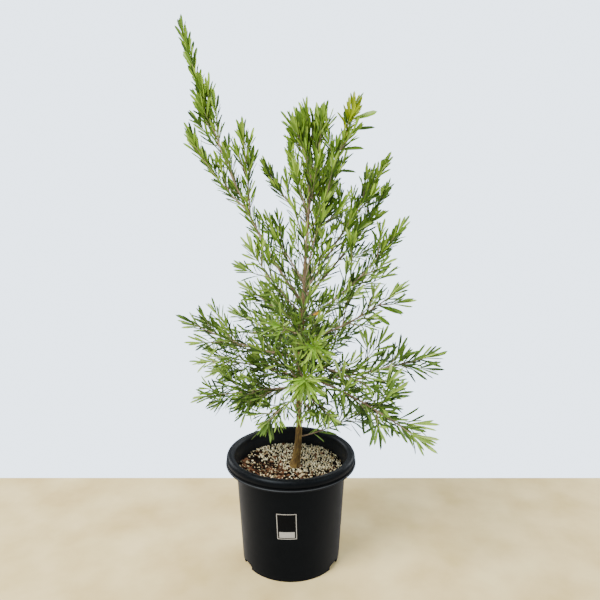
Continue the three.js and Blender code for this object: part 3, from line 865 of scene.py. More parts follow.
# %% The trunk and the tables of limbs
TRUNK = [  # place and diameter, from under the soil to the foot of the leading shoot
    ((8, 0, 205), 34),
    ((9, 0, 222), 26),
    ((12, 0, 240), 20),
    ((16, 0, 272), 16.5),
    ((19, 0, 330), 14.5),
    ((19, 0, 416), 13.5),
    ((25, 0, 544), 12),
    ((31, 0, 665), 10),
    ((38, 0, 780), 8),
    ((44, 0, 859), 6),
]
LIMBS = [
    ("low_back_right", 291, (205, 70, 345), 4, 0.5, 4.6, 3, 62),
    ("low_front_left", 388, (-64, -150, 366), 4, 0, 4.4, 2, 60),
    ("low_front", 402, (44, -190, 418), 6, 0, 4.4, 2, 60),
    ("low_front_right", 408, (90, -232, 422), 7, 0, 4.6, 3, 66),
    ("lower_left", 412, (-212, -60, 406), 1, 0.3, 5.4, 4, 76),
    ("lower_back", 420, (-30, 215, 470), 10, 0.3, 5.2, 4, 84),
    ("lower_right", 424, (323, -60, 508), 8, 0.34, 6.4, 5, 92),
    ("lower_back_left", 432, (-234, 62, 450), 20, 0.34, 5.6, 5, 80),
    ("long_front_right", 440, (261, -258, 384), 3, 0.34, 6.4, 5, 88),
    ("front", 448, (32, -230, 503), 12, 0.3, 5, 4, 66),
    ("lower_back_right", 462, (150, 195, 520), 12, 0.3, 5.4, 4, 84),
    ("front_right", 474, (178, -198, 470), 4, 0.32, 5.4, 4, 76),
    ("middle_left", 482, (-240, -40, 584), 8, 0.32, 6.4, 5, 90),
    ("high_front", 496, (55, -200, 566), 18, 0, 4.6, 3, 64),
    ("middle_back_left", 508, (-146, 82, 572), 18, 0.3, 5, 4, 76),
    ("middle_right", 520, (240, -90, 664), 18, 0.32, 6, 5, 84),
    ("high_front_left", 534, (-25, -172, 602), 15, 0, 4.4, 3, 66),
    ("middle_back", 546, (40, 205, 650), 20, 0.3, 5.4, 4, 84),
    ("short_left", 556, (-106, -36, 658), 32, 0, 4.4, 3, 60),
    ("upper_right", 566, (241, -62, 793), 30, 0.32, 6.2, 5, 90),
    ("upright_left", 580, (-92, -88, 757), 40, 0.3, 5, 4, 70),
    ("left_leader", 600, (-226, 20, 1194), 54, 0.36, 9, 4, 84),
    ("upper_back_right", 612, (232, 118, 868), 38, 0.34, 6, 5, 86),
    ("long_right", 626, (217, 40, 926), 56, 0.34, 6.4, 5, 80),
    ("right_leader", 640, (139, -28, 1040), 79, 0.3, 6, 6, 78),
    ("upper_back_left", 652, (-62, 150, 800), 32, 0.3, 5, 4, 74),
    ("high_back", 720, (96, 118, 880), 40, 0, 4.6, 4, 70),
    ("high_left", 776, (-62, 42, 918), 42, 0, 4.2, 3, 52),
    ("leading_shoot", 859, (26, -6, 1026), 92, 0, 5, 4, 78),
]
SIDE_SHOOTS = [  # name, the limb it leaves and how far along, tip, rise, thickness, twigs and their length
    ("left_leader_outer", "left_leader", 0.43, (-221, 38, 988), 38, 4, 3, 60),
    ("left_leader_inner", "left_leader", 0.4, (-99, -28, 990), 84, 4, 3, 60),
    ("leading_shoot_right", "leading_shoot", 0.1, (72, -20, 1026), 70, 3.6, 2, 56),
    ("leading_shoot_left", "leading_shoot", 0.3, (0, -32, 1004), 60, 3.2, 1, 50),
    ("lower_left_hanging", "lower_left", 0.06, (-104, 6, 384), -10, 3, 4, 58),
    ("lower_left_inner", "lower_left", 0.2, (-126, -66, 380), -6, 3, 4, 54),
    ("lower_back_left_hanging", "lower_back_left", 0.1, (-100, 60, 408), 0, 3, 4, 58),
]
print("limbs:", len(LIMBS), "side shoots:", len(SIDE_SHOOTS))

# %% Curves of the trunk and limbs
Shoot = namedtuple("Shoot", "name spray foot bend tip base_radius tip_radius bare")
UP = Vector((0, 0, 1))


def point_on(shoot, share):
    rest = 1 - share
    return shoot.foot * rest * rest + shoot.bend * 2 * rest * share + shoot.tip * share * share


def direction_on(shoot, share):
    return blend(shoot.bend - shoot.foot, shoot.tip - shoot.bend, share).normalized()


def radius_on(shoot, share):
    return blend(shoot.base_radius, shoot.tip_radius, share)


def length_of(shoot, pieces=24):
    points = [point_on(shoot, k / pieces) for k in range(pieces + 1)]
    return sum((b - a).length for a, b in zip(points, points[1:]))


def trunk_point(share):
    """A smooth curve through the trunk's places."""
    places = [Vector(place) for place, _ in TRUNK]
    places = [2 * places[0] - places[1]] + places + [2 * places[-1] - places[-2]]
    at = share * (len(TRUNK) - 1)
    k = min(int(at), len(TRUNK) - 2)
    t = at - k
    a, b, c, d = places[k : k + 4]
    linear, square = (c - a) * 0.5, a - 2.5 * b + 2 * c - 0.5 * d
    return b + linear * t + square * t**2 + (1.5 * (b - c) + 0.5 * (d - a)) * t**3


def trunk_radius(share):
    at = share * (len(TRUNK) - 1)
    k = min(int(at), len(TRUNK) - 2)
    return blend(TRUNK[k][1], TRUNK[k + 1][1], at - k) / 2


def trunk_share(height):
    low, high = 0.0, 1.0
    for _ in range(40):
        middle = (low + high) / 2
        low, high = (middle, high) if trunk_point(middle).z < height else (low, middle)
    return (low + high) / 2


print("trunk at 400 mm:", [round(v, 1) for v in trunk_point(trunk_share(400))])

# %% Grow the limbs
BEND_SHARE = 0.41
TIP_LEAVES_REACH = 33  # a stem ends this far short of its tip, and leaves carry it on
STEM_TIP_RADIUS = 1.1


def limb_shoot(name, spray, foot, tip, rise, bare, thick):
    foot, tip = Vector(foot), Vector(tip)
    run = tip - foot
    level = Vector((run.x, run.y, 0)).normalized()
    angle = math.radians(rise)
    bend = foot + (level * math.cos(angle) + UP * math.sin(angle)) * BEND_SHARE * run.length
    end = tip - (tip - bend).normalized() * TIP_LEAVES_REACH
    return Shoot(name, spray, foot, bend, end, thick / 2, STEM_TIP_RADIUS, bare)


def grow_limbs():
    grown = {}
    for name, height, tip, rise, bare, thick, _, _ in LIMBS:
        foot = trunk_point(trunk_share(height))
        grown[name] = limb_shoot(name, name, foot, tip, rise, bare, thick)
    for name, on, along, tip, rise, thick, _, _ in SIDE_SHOOTS:
        grown[name] = limb_shoot(name, on, point_on(grown[on], along), tip, rise, 0, thick)
    return grown


limbs = grow_limbs()
print("limbs grown, longest", round(max(length_of(limb) for limb in limbs.values())), "mm")

# %% The growing rule
WORD = 0xFFFFFFFF
TURN = math.radians(137.5)  # from each leaf or twig to the next, round the stem
JUST_PAST = 0.035
TWIG_SEED = 100
TWIG_RADII = (1.5, 0.8)  # of a twig's foot and tip
TWIG_ANGLE = 40  # degrees between a twig and its stem
TWIG_ANGLE_SPREAD = 10
TWIG_LIFT = 0.35  # how much a twig turns up towards the light
TWIG_FIRST = 0.22  # twigs start on this share of a stem
TWIG_LAST = 0.86  # and not further out than this share
TWIG_SHORTEN = 0.55  # the last twig is this much shorter than the first
TWIG_UNEVEN = 0.15  # how much a twig's length strays either way
WIDE_TWIGGED = ("right_leader",)
HUG = 0.62  # high in the crown, twigs stand at this share of their angle
HUG_FROM = 600  # and they start to close up at this height
HUG_OVER = 300
FINE_SEED = 2000
FINE_RADII = (1.1, 0.7)
FINE_ANGLE = 41
FINE_ANGLE_SPREAD = 7
FINE_HUG = 1.6  # fine twigs close up by this power of what main twigs do
FINE_LAST = 0.8
FINE_SHORTEN = 0.45
FINE_UNEVEN = 0.25
FINE_LIFT = 0.3


def seeded_draw(seed):
    """Evenly spread numbers from 0 to 1 that are the same on every run."""
    state = seed

    def draw():
        nonlocal state
        state = (state + 0x6D2B79F5) & WORD
        mixed = ((state ^ (state >> 15)) * (1 | state)) & WORD
        mixed = ((mixed + ((mixed ^ (mixed >> 7)) * (61 | mixed))) ^ mixed) & WORD
        return (mixed ^ (mixed >> 14)) / 4294967296

    return draw


def either_way(draw):
    """A draw from -1 to 1."""
    return 2 * draw() - 1


def leaning(axis, angle, around):
    """A direction at an angle in degrees from an axis, turned so far about it."""
    side = UP.cross(axis)
    side = Vector((1, 0, 0)) if side.length < 0.05 else side.normalized()
    front = axis.cross(side)
    tilt = math.radians(angle)
    return axis * math.cos(tilt) + (side * math.cos(around) + front * math.sin(around)) * math.sin(tilt)


def twig_out(name, spray, foot, out, length, lift, radii):
    """A short shoot that sets off one way and turns up from half way."""
    bend = foot + out * length / 2
    tip = bend + (out + UP * lift).normalized() * length / 2
    return Shoot(name, spray, foot, bend, tip, *radii, 0)


def twig_from(name, shoot, share, angle, around, length, lift, radii):
    out = leaning(direction_on(shoot, share), angle, around)
    return twig_out(name, shoot.spray, point_on(shoot, share), out, length, lift, radii)


def hug_at(height):
    return blend(1, HUG, clamp((height - HUG_FROM) / HUG_OVER))


def main_twigs(limb, count, longest, seed):
    """The twigs that the solids have too."""
    draw = seeded_draw(seed)
    phase = draw() * 2 * math.pi
    for i in range(count):
        place = (i + draw()) / count
        share = blend(max(limb.bare + JUST_PAST, TWIG_FIRST), TWIG_LAST, place)
        angle = TWIG_ANGLE + TWIG_ANGLE_SPREAD * either_way(draw)
        if limb.name not in WIDE_TWIGGED:
            angle *= hug_at(point_on(limb, share).z)
        length = longest * (1 - TWIG_SHORTEN * place) * (1 + TWIG_UNEVEN * either_way(draw))
        name = f"{limb.name}_twig_{i}"
        yield twig_from(name, limb, share, angle, phase + i * TURN, length, TWIG_LIFT, TWIG_RADII)


def fine_twigs(shoot, count, longest, first, seed):
    """Shorter side shoots between the main twigs, within their reach."""
    draw = seeded_draw(seed)
    phase = draw() * 2 * math.pi
    for i in range(count):
        place = (i + draw()) / count
        share = blend(first, FINE_LAST, place)
        length = longest * (1 - FINE_SHORTEN * place) * (1 + FINE_UNEVEN * either_way(draw))
        angle = FINE_ANGLE + FINE_ANGLE_SPREAD * either_way(draw)
        angle *= hug_at(point_on(shoot, share).z) ** FINE_HUG
        yield twig_from("fine", shoot, share, angle, phase + i * TURN, length, FINE_LIFT, FINE_RADII)


# %% Grow every twig
FINE_TWIG_STEP = 100  # one fine twig to each such length of a limb
TWIG_STEPS = {  # and to other lengths of these
    "left_leader": 90, "long_right": 42, "upper_right": 45, "upper_back_right": 60, "right_leader": 45,
    "leading_shoot": 24, "leading_shoot_left": 40, "leading_shoot_right": 32, "middle_left": 60,
    "lower_left": 25, "lower_back_left": 60, "low_front_left": 45, "lower_right": 300,
    "long_front_right": 300, "front_right": 200, "high_back": 200,
}
FINE_LENGTH = 0.8  # of the limb's first main twig
FINE_FIRST = 0.15  # fine twigs start here, or half way along the bare wood
LATE_FINE = {"left_leader": 0.62}  # or here
FORKED_LENGTH = 66  # a main twig longer than this carries a fine twig of its own
FORK_SEED = 3000
FORK_LENGTH = 0.42
FORK_FIRST = 0.3
SPUR_SEED = 5000
SPUR_LENGTH = 95
SPUR_LENGTH_UNEVEN = 0.3
SPUR_ANGLE_UNEVEN = 0.15
SPUR_LIFT = 0.45
SPURS = [  # leafy spurs on the trunk: from and to which height, how many, and their angle to the trunk
    (398, 560, 44, 56),
    (560, 700, 8, 38),
    (700, 790, 5, 32),
    (790, 858, 12, 32),
]


def trunk_spurs():
    """Short leafy spurs straight from the trunk, each in the spray of the limb nearest in height."""
    draw = seeded_draw(SPUR_SEED)
    places = []
    for low, high, count, angle in SPURS:
        places += [(blend(low, high, (i + draw()) / count), angle) for i in range(count)]
    for i, (height, angle) in enumerate(places):
        share = trunk_share(height)
        foot = trunk_point(share)
        spray = min(LIMBS, key=lambda row: abs(row[1] - height))[0]
        axis = (trunk_point(share + 0.01) - foot).normalized()
        out = leaning(axis, angle * (1 + SPUR_ANGLE_UNEVEN * either_way(draw)), i * TURN)
        length = SPUR_LENGTH * (1 + SPUR_LENGTH_UNEVEN * either_way(draw))
        yield twig_out("spur", spray, foot, out, length, SPUR_LIFT, TWIG_RADII)


def grow_twigs():
    grown = []
    for i, row in enumerate(LIMBS + SIDE_SHOOTS):
        limb, count, longest = limbs[row[0]], row[-2], row[-1]
        main = list(main_twigs(limb, count, longest, TWIG_SEED + i))
        extra = round(length_of(limb) / TWIG_STEPS.get(limb.name, FINE_TWIG_STEP))
        first = LATE_FINE.get(limb.name, max(limb.bare / 2, FINE_FIRST))
        fine = list(fine_twigs(limb, extra, longest * FINE_LENGTH, first, FINE_SEED + i))
        for j, twig in enumerate(main):
            if length_of(twig) > FORKED_LENGTH:
                fine += fine_twigs(twig, 1, longest * FORK_LENGTH, FORK_FIRST, FORK_SEED + 40 * i + j)
        grown += main + fine
    return grown + list(trunk_spurs())


TWIGLET_SEED = 6000
TWIGLET_RADII = (1.15, 0.7)
TWIGLET_ANGLE = 70
TWIGLET_ANGLE_SPREAD = 8
TWIGLET_LIFT = 0.7
TWIGLETS = {"left_leader": (18, 0.4, 0.7, 52)}  # how many, from and to along the limb, and their length


def bare_twiglets():
    """Dead hair-thin twigs that have dropped their leaves."""
    draw = seeded_draw(TWIGLET_SEED)
    for name, (count, first, last, longest) in TWIGLETS.items():
        limb = limbs[name]
        for i in range(count):
            share = blend(first, last, (i + draw()) / count)
            length = blend(longest / 2, longest, draw())
            angle = TWIGLET_ANGLE + TWIGLET_ANGLE_SPREAD * either_way(draw)
            yield twig_from("twiglet", limb, share, angle, i * TURN, length, TWIGLET_LIFT, TWIGLET_RADII)


twigs = grow_twigs()
twiglets = list(bare_twiglets())
shoots = list(limbs.values()) + twigs
print("twigs and spurs:", len(twigs))

# %% [markdown]
# ## Wood
#
# A stem is a tube along a curve, which is what Geometry Nodes' Curve to Mesh makes. Its thickness is stored
# on the path's points. The same tree raises the bark: it keeps how far round and how far along each point
# lies, and a noise stretched along the stem pushes the surface in and out in lengthwise fissures. Because
# the noise follows the stem and not the world, it runs true on slanting limbs. The tree also keeps the depth
# of each fissure on the mesh, so the bark's colour can darken in the same places. The trunk is slimmer
# above the height where its leaders leave it, and so are a few slender limbs near their feet.


# %% Build the stem tree
def store(tree, geometry, name, value, kind="FLOAT"):
    node = add_node(
        tree, "GeometryNodeStoreNamedAttribute", data_type=kind, Geometry=geometry, Name=name, Value=value
    )
    return node.outputs[0]


def noise_along(tree, scale, detail):
    waves = noise_at(tree, named(tree, "bark_place", "FLOAT_VECTOR"), scale, detail)
    return calculate(tree, "SUBTRACT", waves, 0.5)


def make_stem_tree():
    tree, given, result = new_group(
        "grow_stems",
        "GeometryNodeTree",
        {
            "Paths": "Geometry", "Sides": 8, "Relief": 0.0005, "Swelling": 0.0005, "Fissure Width": 0.003,
            "Fissure Stretch": 6.0, "Finish": "Material",
        },
        {"Stems": "Geometry"},
    )
    curves = add_node(tree, "GeometryNodeMeshToCurve", Mesh=given["Paths"]).outputs[0]
    along = add_node(tree, "GeometryNodeSplineParameter").outputs["Length"]
    curves = store(tree, curves, "along", calculate(tree, "ADD", along, named(tree, "start")))
    ring = add_node(tree, "GeometryNodeCurvePrimitiveCircle", Resolution=given["Sides"]).outputs[0]
    place = add_node(tree, "GeometryNodeInputPosition").outputs[0]
    ring = store(tree, ring, "around", place, "FLOAT_VECTOR")
    tubes = add_node(
        tree, "GeometryNodeCurveToMesh", Curve=curves, Profile_Curve=ring,
        Scale=named(tree, "thickness"), Fill_Caps=True,
    ).outputs[0]
    across = on_vectors(tree, "SCALE", named(tree, "around", "FLOAT_VECTOR"), named(tree, "thickness"))
    squeezed = calculate(tree, "DIVIDE", named(tree, "along"), given["Fissure Stretch"])
    lengthwise = add_node(tree, "ShaderNodeCombineXYZ", Z=squeezed).outputs[0]
    bark_place = on_vectors(tree, "ADD", across, lengthwise)
    tubes = store(tree, tubes, "bark_place", bark_place, "FLOAT_VECTOR")
    fissures = noise_along(tree, calculate(tree, "DIVIDE", 1.0, given["Fissure Width"]), 3.0)
    crack = remap(tree, calculate(tree, "ABSOLUTE", fissures), 0.0, 0.1, 1.0, 0.0)
    tubes = store(tree, tubes, "crack", crack)
    swell = calculate(tree, "MULTIPLY", noise_along(tree, 70.0, 1.0), given["Swelling"])
    cut = calculate(tree, "MULTIPLY", named(tree, "crack"), given["Relief"])
    normal = add_node(tree, "GeometryNodeInputNormal").outputs[0]
    push = on_vectors(tree, "SCALE", normal, calculate(tree, "SUBTRACT", swell, cut))
    raised = add_node(tree, "GeometryNodeSetPosition", Geometry=tubes, Offset=push).outputs[0]
    smoothed = add_node(tree, "GeometryNodeSetShadeSmooth", Geometry=raised).outputs[0]
    feed(tree, result["Stems"], coated(tree, made_real(tree, smoothed), given["Finish"]))
    return tree


STEMS = make_stem_tree()
print("stem tree nodes:", len(STEMS.nodes))

# %% [markdown]
# ## Bark
#
# Old bark at the foot is olive and golden brown with fine dark fissures. Young shoots are smooth and pinkish
# tan, and the youngest are tinged green. One material covers all of it: it reads how old the wood is from a
# number stored on the mesh, and blends between the two finishes, so no joint shows where a limb leaves the
# trunk.


# %% Mix the bark
OLD_BARK = ((0.10, 0.056, 0.013), (0.33, 0.215, 0.056))
YOUNG_BARK = ((0.24, 0.16, 0.105), (0.46, 0.345, 0.25))
GREEN_BARK = ((0.13, 0.15, 0.05), (0.27, 0.27, 0.12))
CRACK_COLOUR = (0.07, 0.042, 0.02, 1)


def make_bark():
    finish, tree, shader = new_finish("bottlebrush_bark", Roughness=0.78, Specular_IOR_Level=0.3)
    stored = {
        name: add_node(tree, "ShaderNodeAttribute", attribute_name=name).outputs
        for name in ("bark_place", "age", "tinged", "crack")
    }
    place, age = stored["bark_place"]["Vector"], stored["age"]["Fac"]
    old = tone_at(tree, place, 0.004, *OLD_BARK)
    young = tone_at(tree, place, 0.006, *YOUNG_BARK)
    green = tone_at(tree, place, 0.006, *GREEN_BARK)
    shoots_tone = blend_colour(tree, stored["tinged"]["Fac"], young["Colour"], green["Colour"])
    wood = blend_colour(tree, age, shoots_tone, old["Colour"])
    depth = calculate(tree, "MULTIPLY", calculate(tree, "MULTIPLY", stored["crack"]["Fac"], age), 0.7)
    feed(tree, shader.inputs["Base Color"], blend_colour(tree, depth, wood, CRACK_COLOUR))
    roughen(tree, shader, old["Height"], 0.0004)
    return finish


BARK = make_bark()
OLD_THICKNESS = 15  # wood this thick across has wholly turned to old bark
YOUNG_THICKNESS = 3
GREEN_THICKNESS = 1.8  # wood this thin is still green
OLD_HEIGHT = 330  # and so has all wood under this height that is
OLD_AT_FOOT = 10  # at least this thick
OLD_OVER = 60  # above that height, it turns young over this length
START_STEP = 0.37  # metres of noise between one stem's bark and the next


def path_mesh(name, paths):
    """Rows of (place, radius) in millimetres as chains of edges, with what the stem tree reads."""
    vertices, edges, thickness, age, tinged, start = [], [], [], [], [], []
    for number, path in enumerate(paths):
        for k, (place, radius) in enumerate(path):
            if k:
                edges.append((len(vertices) - 1, len(vertices)))
            vertices.append(place * MM)
            thickness.append(radius * MM)
            grown = (2 * radius - YOUNG_THICKNESS) / (OLD_THICKNESS - YOUNG_THICKNESS)
            low = clamp(1 - (place.z - OLD_HEIGHT) / OLD_OVER)
            age.append(clamp(grown + low * min(1, 2 * radius / OLD_AT_FOOT)))
            tinged.append(clamp((YOUNG_THICKNESS - 2 * radius) / (YOUNG_THICKNESS - GREEN_THICKNESS)))
            start.append(START_STEP * number)
    mesh = new_mesh(name, vertices, edges)
    for label, values in (("thickness", thickness), ("age", age), ("tinged", tinged), ("start", start)):
        store_on(mesh, label, values)
    return mesh


# %% Grow the trunk, the boughs and the twigs
TRUNK_RING_STEP = 2.5
BOUGH_RING_STEP = 3.5
TWIG_RING_STEP = 9
SLIM_FROM = 580
SLIM_OVER = 60
SLIM_SHARE = 0.76
SLIM_LIMBS = (
    "left_leader", "upright_left", "upper_right", "right_leader", "long_right", "low_back_right",
)


def trunk_path():
    """The trunk loses wood where the two leaders leave it."""
    steps = round((TRUNK[-1][0][2] - TRUNK[0][0][2]) / TRUNK_RING_STEP)
    path = []
    for k in range(steps + 1):
        place = trunk_point(k / steps)
        left = blend(1, SLIM_SHARE, clamp((place.z - SLIM_FROM) / SLIM_OVER))
        path.append((place, trunk_radius(k / steps) * left))
    return path


def shoot_path(shoot, start, end, ring_step):
    steps = max(3, round(length_of(shoot) * (end - start) / ring_step))
    shares = [blend(start, end, k / steps) for k in range(steps + 1)]
    slim = blend(SLIM_SHARE, 1, shares[0]) if shoot.name in SLIM_LIMBS else 1
    return [(point_on(shoot, share), radius_on(shoot, share) * slim) for share in shares]


def grow_stems(name, paths, sides, relief, swelling, fissure_width):
    return run_tree(
        name, path_mesh(name, paths), STEMS, Sides=sides, Relief=relief, Swelling=swelling,
        Fissure_Width=fissure_width, Finish=BARK,
    )


def make_wood():
    trunk = grow_stems("trunk_bark", [trunk_path()], 44, 0.0006, 0.0022, 0.0034)
    stands_for(trunk, "bark", "trunk")
    boughs = [limb for limb in limbs.values() if limb.bare > 0]
    paths = [shoot_path(limb, 0, limb.bare + 0.02, BOUGH_RING_STEP) for limb in boughs]
    bough_bark = grow_stems("bough_bark", paths, 14, 0.00022, 0.0008, 0.0022)
    stands_for(bough_bark, "bark", *[f"bough_{limb.name}" for limb in boughs])
    paths = [shoot_path(limb, limb.bare, 1, TWIG_RING_STEP) for limb in limbs.values()]
    paths += [shoot_path(twig, 0, 1, TWIG_RING_STEP) for twig in twigs + twiglets]
    young = grow_stems("twigs", paths, 7, 0.0, 0.0005, 0.0022)
    stands_for(young, "foliage", *[f"foliage_{row[0]}" for row in LIMBS])


make_wood()

# %% [markdown]
# ## Leaves
#
# A bottlebrush leaf is stiff, narrow and pointed, with a strong midrib that folds it into a shallow gutter.
# Its back is paler. Each of a few shapes is modelled as a thin closed blade: straight, bowed either way, and
# curved to either side. Geometry Nodes then sets one on every leaf point with its own turn and size. Leaves
# of one colour are joined into one piece.

# %% Model the blades
BLADE_STATIONS = [0, 0.07, 0.3, 0.64, 0.88]
BLADE_WIDTHS = [0.16, 0.22, 0.66, 1.0, 0.78]
BLADE_HALF_WIDTH = 0.07  # of a blade one unit long
BLADE_THICK = 0.011
BLADE_FOLD = 0.4  # how far the edges rise, as a share of the half width


def blade_shape(name, bow, sweep, twist):
    """A leaf one unit long along +Y with its upper side up."""

    def bent(x, y, z):
        turn = math.radians(twist) * y
        across = x * math.cos(turn) - z * math.sin(turn)
        rise = x * math.sin(turn) + z * math.cos(turn)
        return (across + sweep * y * y, y, rise + bow * y * y)

    vertices = []
    for y, wide in zip(BLADE_STATIONS, BLADE_WIDTHS):
        half = BLADE_HALF_WIDTH * wide
        edge = half * BLADE_FOLD
        thick = BLADE_THICK * (0.6 + 0.4 * wide)
        vertices += [bent(-half, y, edge), bent(0, y, thick / 2), bent(half, y, edge), bent(0, y, -thick / 2)]
    vertices.append(bent(0, 1, 0))
    tip = len(vertices) - 1
    faces, under = [(0, 1, 2, 3)], [True]
    for k in range(0, tip - 4, 4):
        for side in range(4):
            a, b = k + side, k + (side + 1) % 4
            faces.append((b, a, a + 4, b + 4))
            under.append(side >= 2)
    for side in range(4):
        faces.append((tip - 4 + (side + 1) % 4, tip - 4 + side, tip))
        under.append(side >= 2)
    mesh = new_mesh(name, vertices, faces=faces)
    store_on(mesh, "under", under, "BOOLEAN", "FACE")
    mesh.shade_smooth()
    mesh.set_sharp_from_angle(angle=math.radians(22))
    return bpy.data.objects.new(name, mesh)


BLADE_KINDS = [  # how far each bows up, sweeps aside and twists
    ("blade_0_straight", 0.0, 0.0, 8),
    ("blade_1_bowed_in", 0.10, 0.02, -12),
    ("blade_2_bowed_out", -0.11, -0.02, 15),
    ("blade_3_swept", -0.04, 0.09, 20),
    ("blade_4_swept_back", 0.05, -0.08, -18),
]
BLADES = shape_box("blades", [blade_shape(*row) for row in BLADE_KINDS])


# %% Build the leaf tree
def make_leaf_tree():
    tree, given, result = new_group(
        "set_leaves",
        "GeometryNodeTree",
        {"Leaf Points": "Geometry", "Blades": "Collection", "Upper Side": "Material", "Back": "Material"},
        {"Leaves": "Geometry"},
    )
    turn = add_node(tree, "FunctionNodeEulerToRotation", Euler=named(tree, "turn", "FLOAT_VECTOR"))
    placed = set_shapes(
        tree, given["Blades"], given["Leaf Points"], Instance_Index=named(tree, "blade", "INT"),
        Rotation=turn.outputs[0], Scale=named(tree, "size", "FLOAT_VECTOR"),
    )
    green = coated(tree, made_real(tree, placed), given["Upper Side"])
    pale = coated(tree, green, given["Back"], Selection=named(tree, "under", "BOOLEAN"))
    feed(tree, result["Leaves"], pale)
    return tree


SET_LEAVES = make_leaf_tree()
print("leaf tree nodes:", len(SET_LEAVES.nodes))

# %% [markdown]
# ## Setting the leaves
#
# The leaves of a stem follow the same rule as its twigs, a few millimetres apart and a golden turn round.
# They close up towards its tip, where a small tuft of young ones hides the end of the stem. A leaf twists
# to hold its upper side to the light, which comes from above and in front, and partly to the stem's tip.
# The habit changes with height: low shoots carry long slender leaves set wide, and the shoots at the top
# carry broader ones that stand closer and turn up, like plumes. Some places break the rule and are listed
# by name: stretches where leaves have dropped, the rosettes of strong new shoots, and a few stray leaves.

# %% Place the leaf points
LEAF_FIRST = 0.1
LEAF_LAST = 0.98
LEAFLESS = 0.2  # this share of a bough's bare wood has no leaves at all
LEAF_ANGLE_SPREAD = 7
LEAF_TURN_SPREAD = 0.3  # radians round the stem
LEAF_SHORTEN = 0.2  # leaves at the tip are this much shorter than at the foot
LEAF_UNEVEN = 0.3  # and a leaf is up to this much shorter than its neighbours
LEAF_WIDTHS = (0.8, 1.1)
FOOT_LEAF_WIDTH = 0.75
CROWDING = 0.8  # below 1, leaves stand closer towards the tip
TWIG_TUFT = (3, 8, 1.0)  # leaves in the tuft, how far down from the tip they start, and how wide they spread
LIMB_TUFT = (7, 22, 1.0)
TUFTS = {
    "upright_left": (13, 40, 2.2), "left_leader": (9, 30, 1.0), "right_leader": (30, 44, 2.1),
    "leading_shoot": (12, 30, 1.2), "leading_shoot_left": (9, 26, 1.1), "leading_shoot_right": (9, 26, 1.1),
    "upper_right": (12, 44, 1.7), "long_right": (12, 34, 1.2), "upper_back_right": (12, 34, 1.3),
}
LEAF_STEPS = {  # closer leaves on some limbs, and wider ones on some twigs
    "left_leader_twig_0": 2.2, "left_leader_twig_1": 1.6, "left_leader_twig_2": 1.3,
    "left_leader_twig_3": 1.3, "left_leader": 0.7, "left_leader_outer": 0.7, "left_leader_inner": 0.75,
    "leading_shoot": 1.05, "leading_shoot_right": 1.05, "long_right": 0.65, "upper_right": 0.65,
    "upper_back_right": 0.7, "high_left": 1.3,
}
CROWDINGS = {"left_leader": 0.65, "left_leader_outer": 1.3, "left_leader_inner": 1.2}
DROOPS = {
    "low_front": 0.4, "low_front_left": 0.6, "low_front_right": 0.3, "front": 0.3, "high_front_left": 0.3,
}
LEAF_SEED = 7000
LIGHT = Vector((-0.15, -0.8, 0.6))
TIPWARD = 0.8  # an upper side turns to the stem's tip this strongly, beside the light
TUFT_TIPWARD = 0.3
TUFT_WIDTH = 0.9  # of the width of other leaves
TUFT_SHORTEN = 0.25  # the lowest leaves of a tuft are up to this much shorter
TUFT_CLOSED = 0.3  # and its top ones stand at this share of their angle
OUT_OF_PLANE = 0.5  # leaves reach this share as far to front and back as they do up, down and aside

Leaf = namedtuple("Leaf", "root direction upper twist length width age green", defaults=[None])
Habit = namedtuple("Habit", "step length width open closed tuft droop twist")
HABITS = [  # by height: slender leaves low down, sparse ones in the middle, broad close ones at the top
    (440, Habit(4.9, 48, 0.93, 48, 36, 40, 0.04, 45)),
    (700, Habit(6.9, 47, 1.05, 41, 30, 40, -0.2, 42)),
    (900, Habit(4.2, 39, 1.14, 36, 26, 39, -0.22, 45)),
    (1100, Habit(3.5, 44, 1.28, 44, 31, 41, -0.4, 42)),
]
HIGH_CROWN = 900
LONG_LEAVED = {"long_front_right": 1.3, "lower_right": 1.2, "low_front": 0.65, "leading_shoot": 0.95}
SPARSE_KEEP = 5  # one leaf in five is left
SPARSE_STRETCHES = {  # on these stretches, from and to along the limb
    "left_leader": (0.52, 0.66), "low_front": (0, 0.75), "long_right": (0.2, 0.55),
    "upper_back_right": (0.25, 0.6),
}
NOT_SPARSE = (2, 2)
ROSETTE_LENGTH = 58
ROSETTE_WIDTH = 0.72
ROSETTE_REACH = 36  # how far down from the tip a rosette starts
ROSETTE_ANGLES = (80, 30)  # wide open at its foot and closing at its tip
ROSETTE_ANGLE_SPREAD = 12
ROSETTE_TWIST = 65
ROSETTES = {  # how many leaves, and how far they droop
    "front": (48, 0.45), "high_front": (16, 0.3), "low_front_left": (15, 0.8),
}
STRAYS = [  # single leaves that stand out: limb, how far along, direction, length, width, green
    ("right_leader", 0.95, (1, -0.1, 0.25), 58, 1.7, "leafy"),
    ("right_leader", 0.9, (1, 0, 0.1), 60, 1.2, "deep"),
    ("right_leader", 0.8, (1, -0.1, 0.2), 50, 1.7, "mid"),
    ("right_leader", 0.69, (1, 0, 0.08), 48, 1.4, "deep"),
    ("middle_right", 0.82, (0.85, -0.1, -0.26), 56, 1.4, "mid"),
    ("middle_right", 0.74, (0.7, -0.1, -0.5), 52, 1.3, "mid"),
    ("middle_right", 0.66, (0.75, 0.1, -0.7), 40, 1.1, "deep"),
    ("middle_left", 0.72, (-0.5, -0.1, 0.8), 56, 1.3, "mid"),
    ("lower_right", 0.8, (0.2, -0.1, 1), 52, 1.1, "mid"),
    ("upper_right", 0.1, (0.8, -1, 0.3), 34, 1.6, "yellowed"),
]


def habit_at(height):
    height = clamp(height, HABITS[0][0], HABITS[-1][0])
    for (low, lower), (high, upper) in zip(HABITS, HABITS[1:]):
        if height <= high:
            share = (height - low) / (high - low)
            return Habit(*(blend(a, b, share) for a, b in zip(lower, upper)))


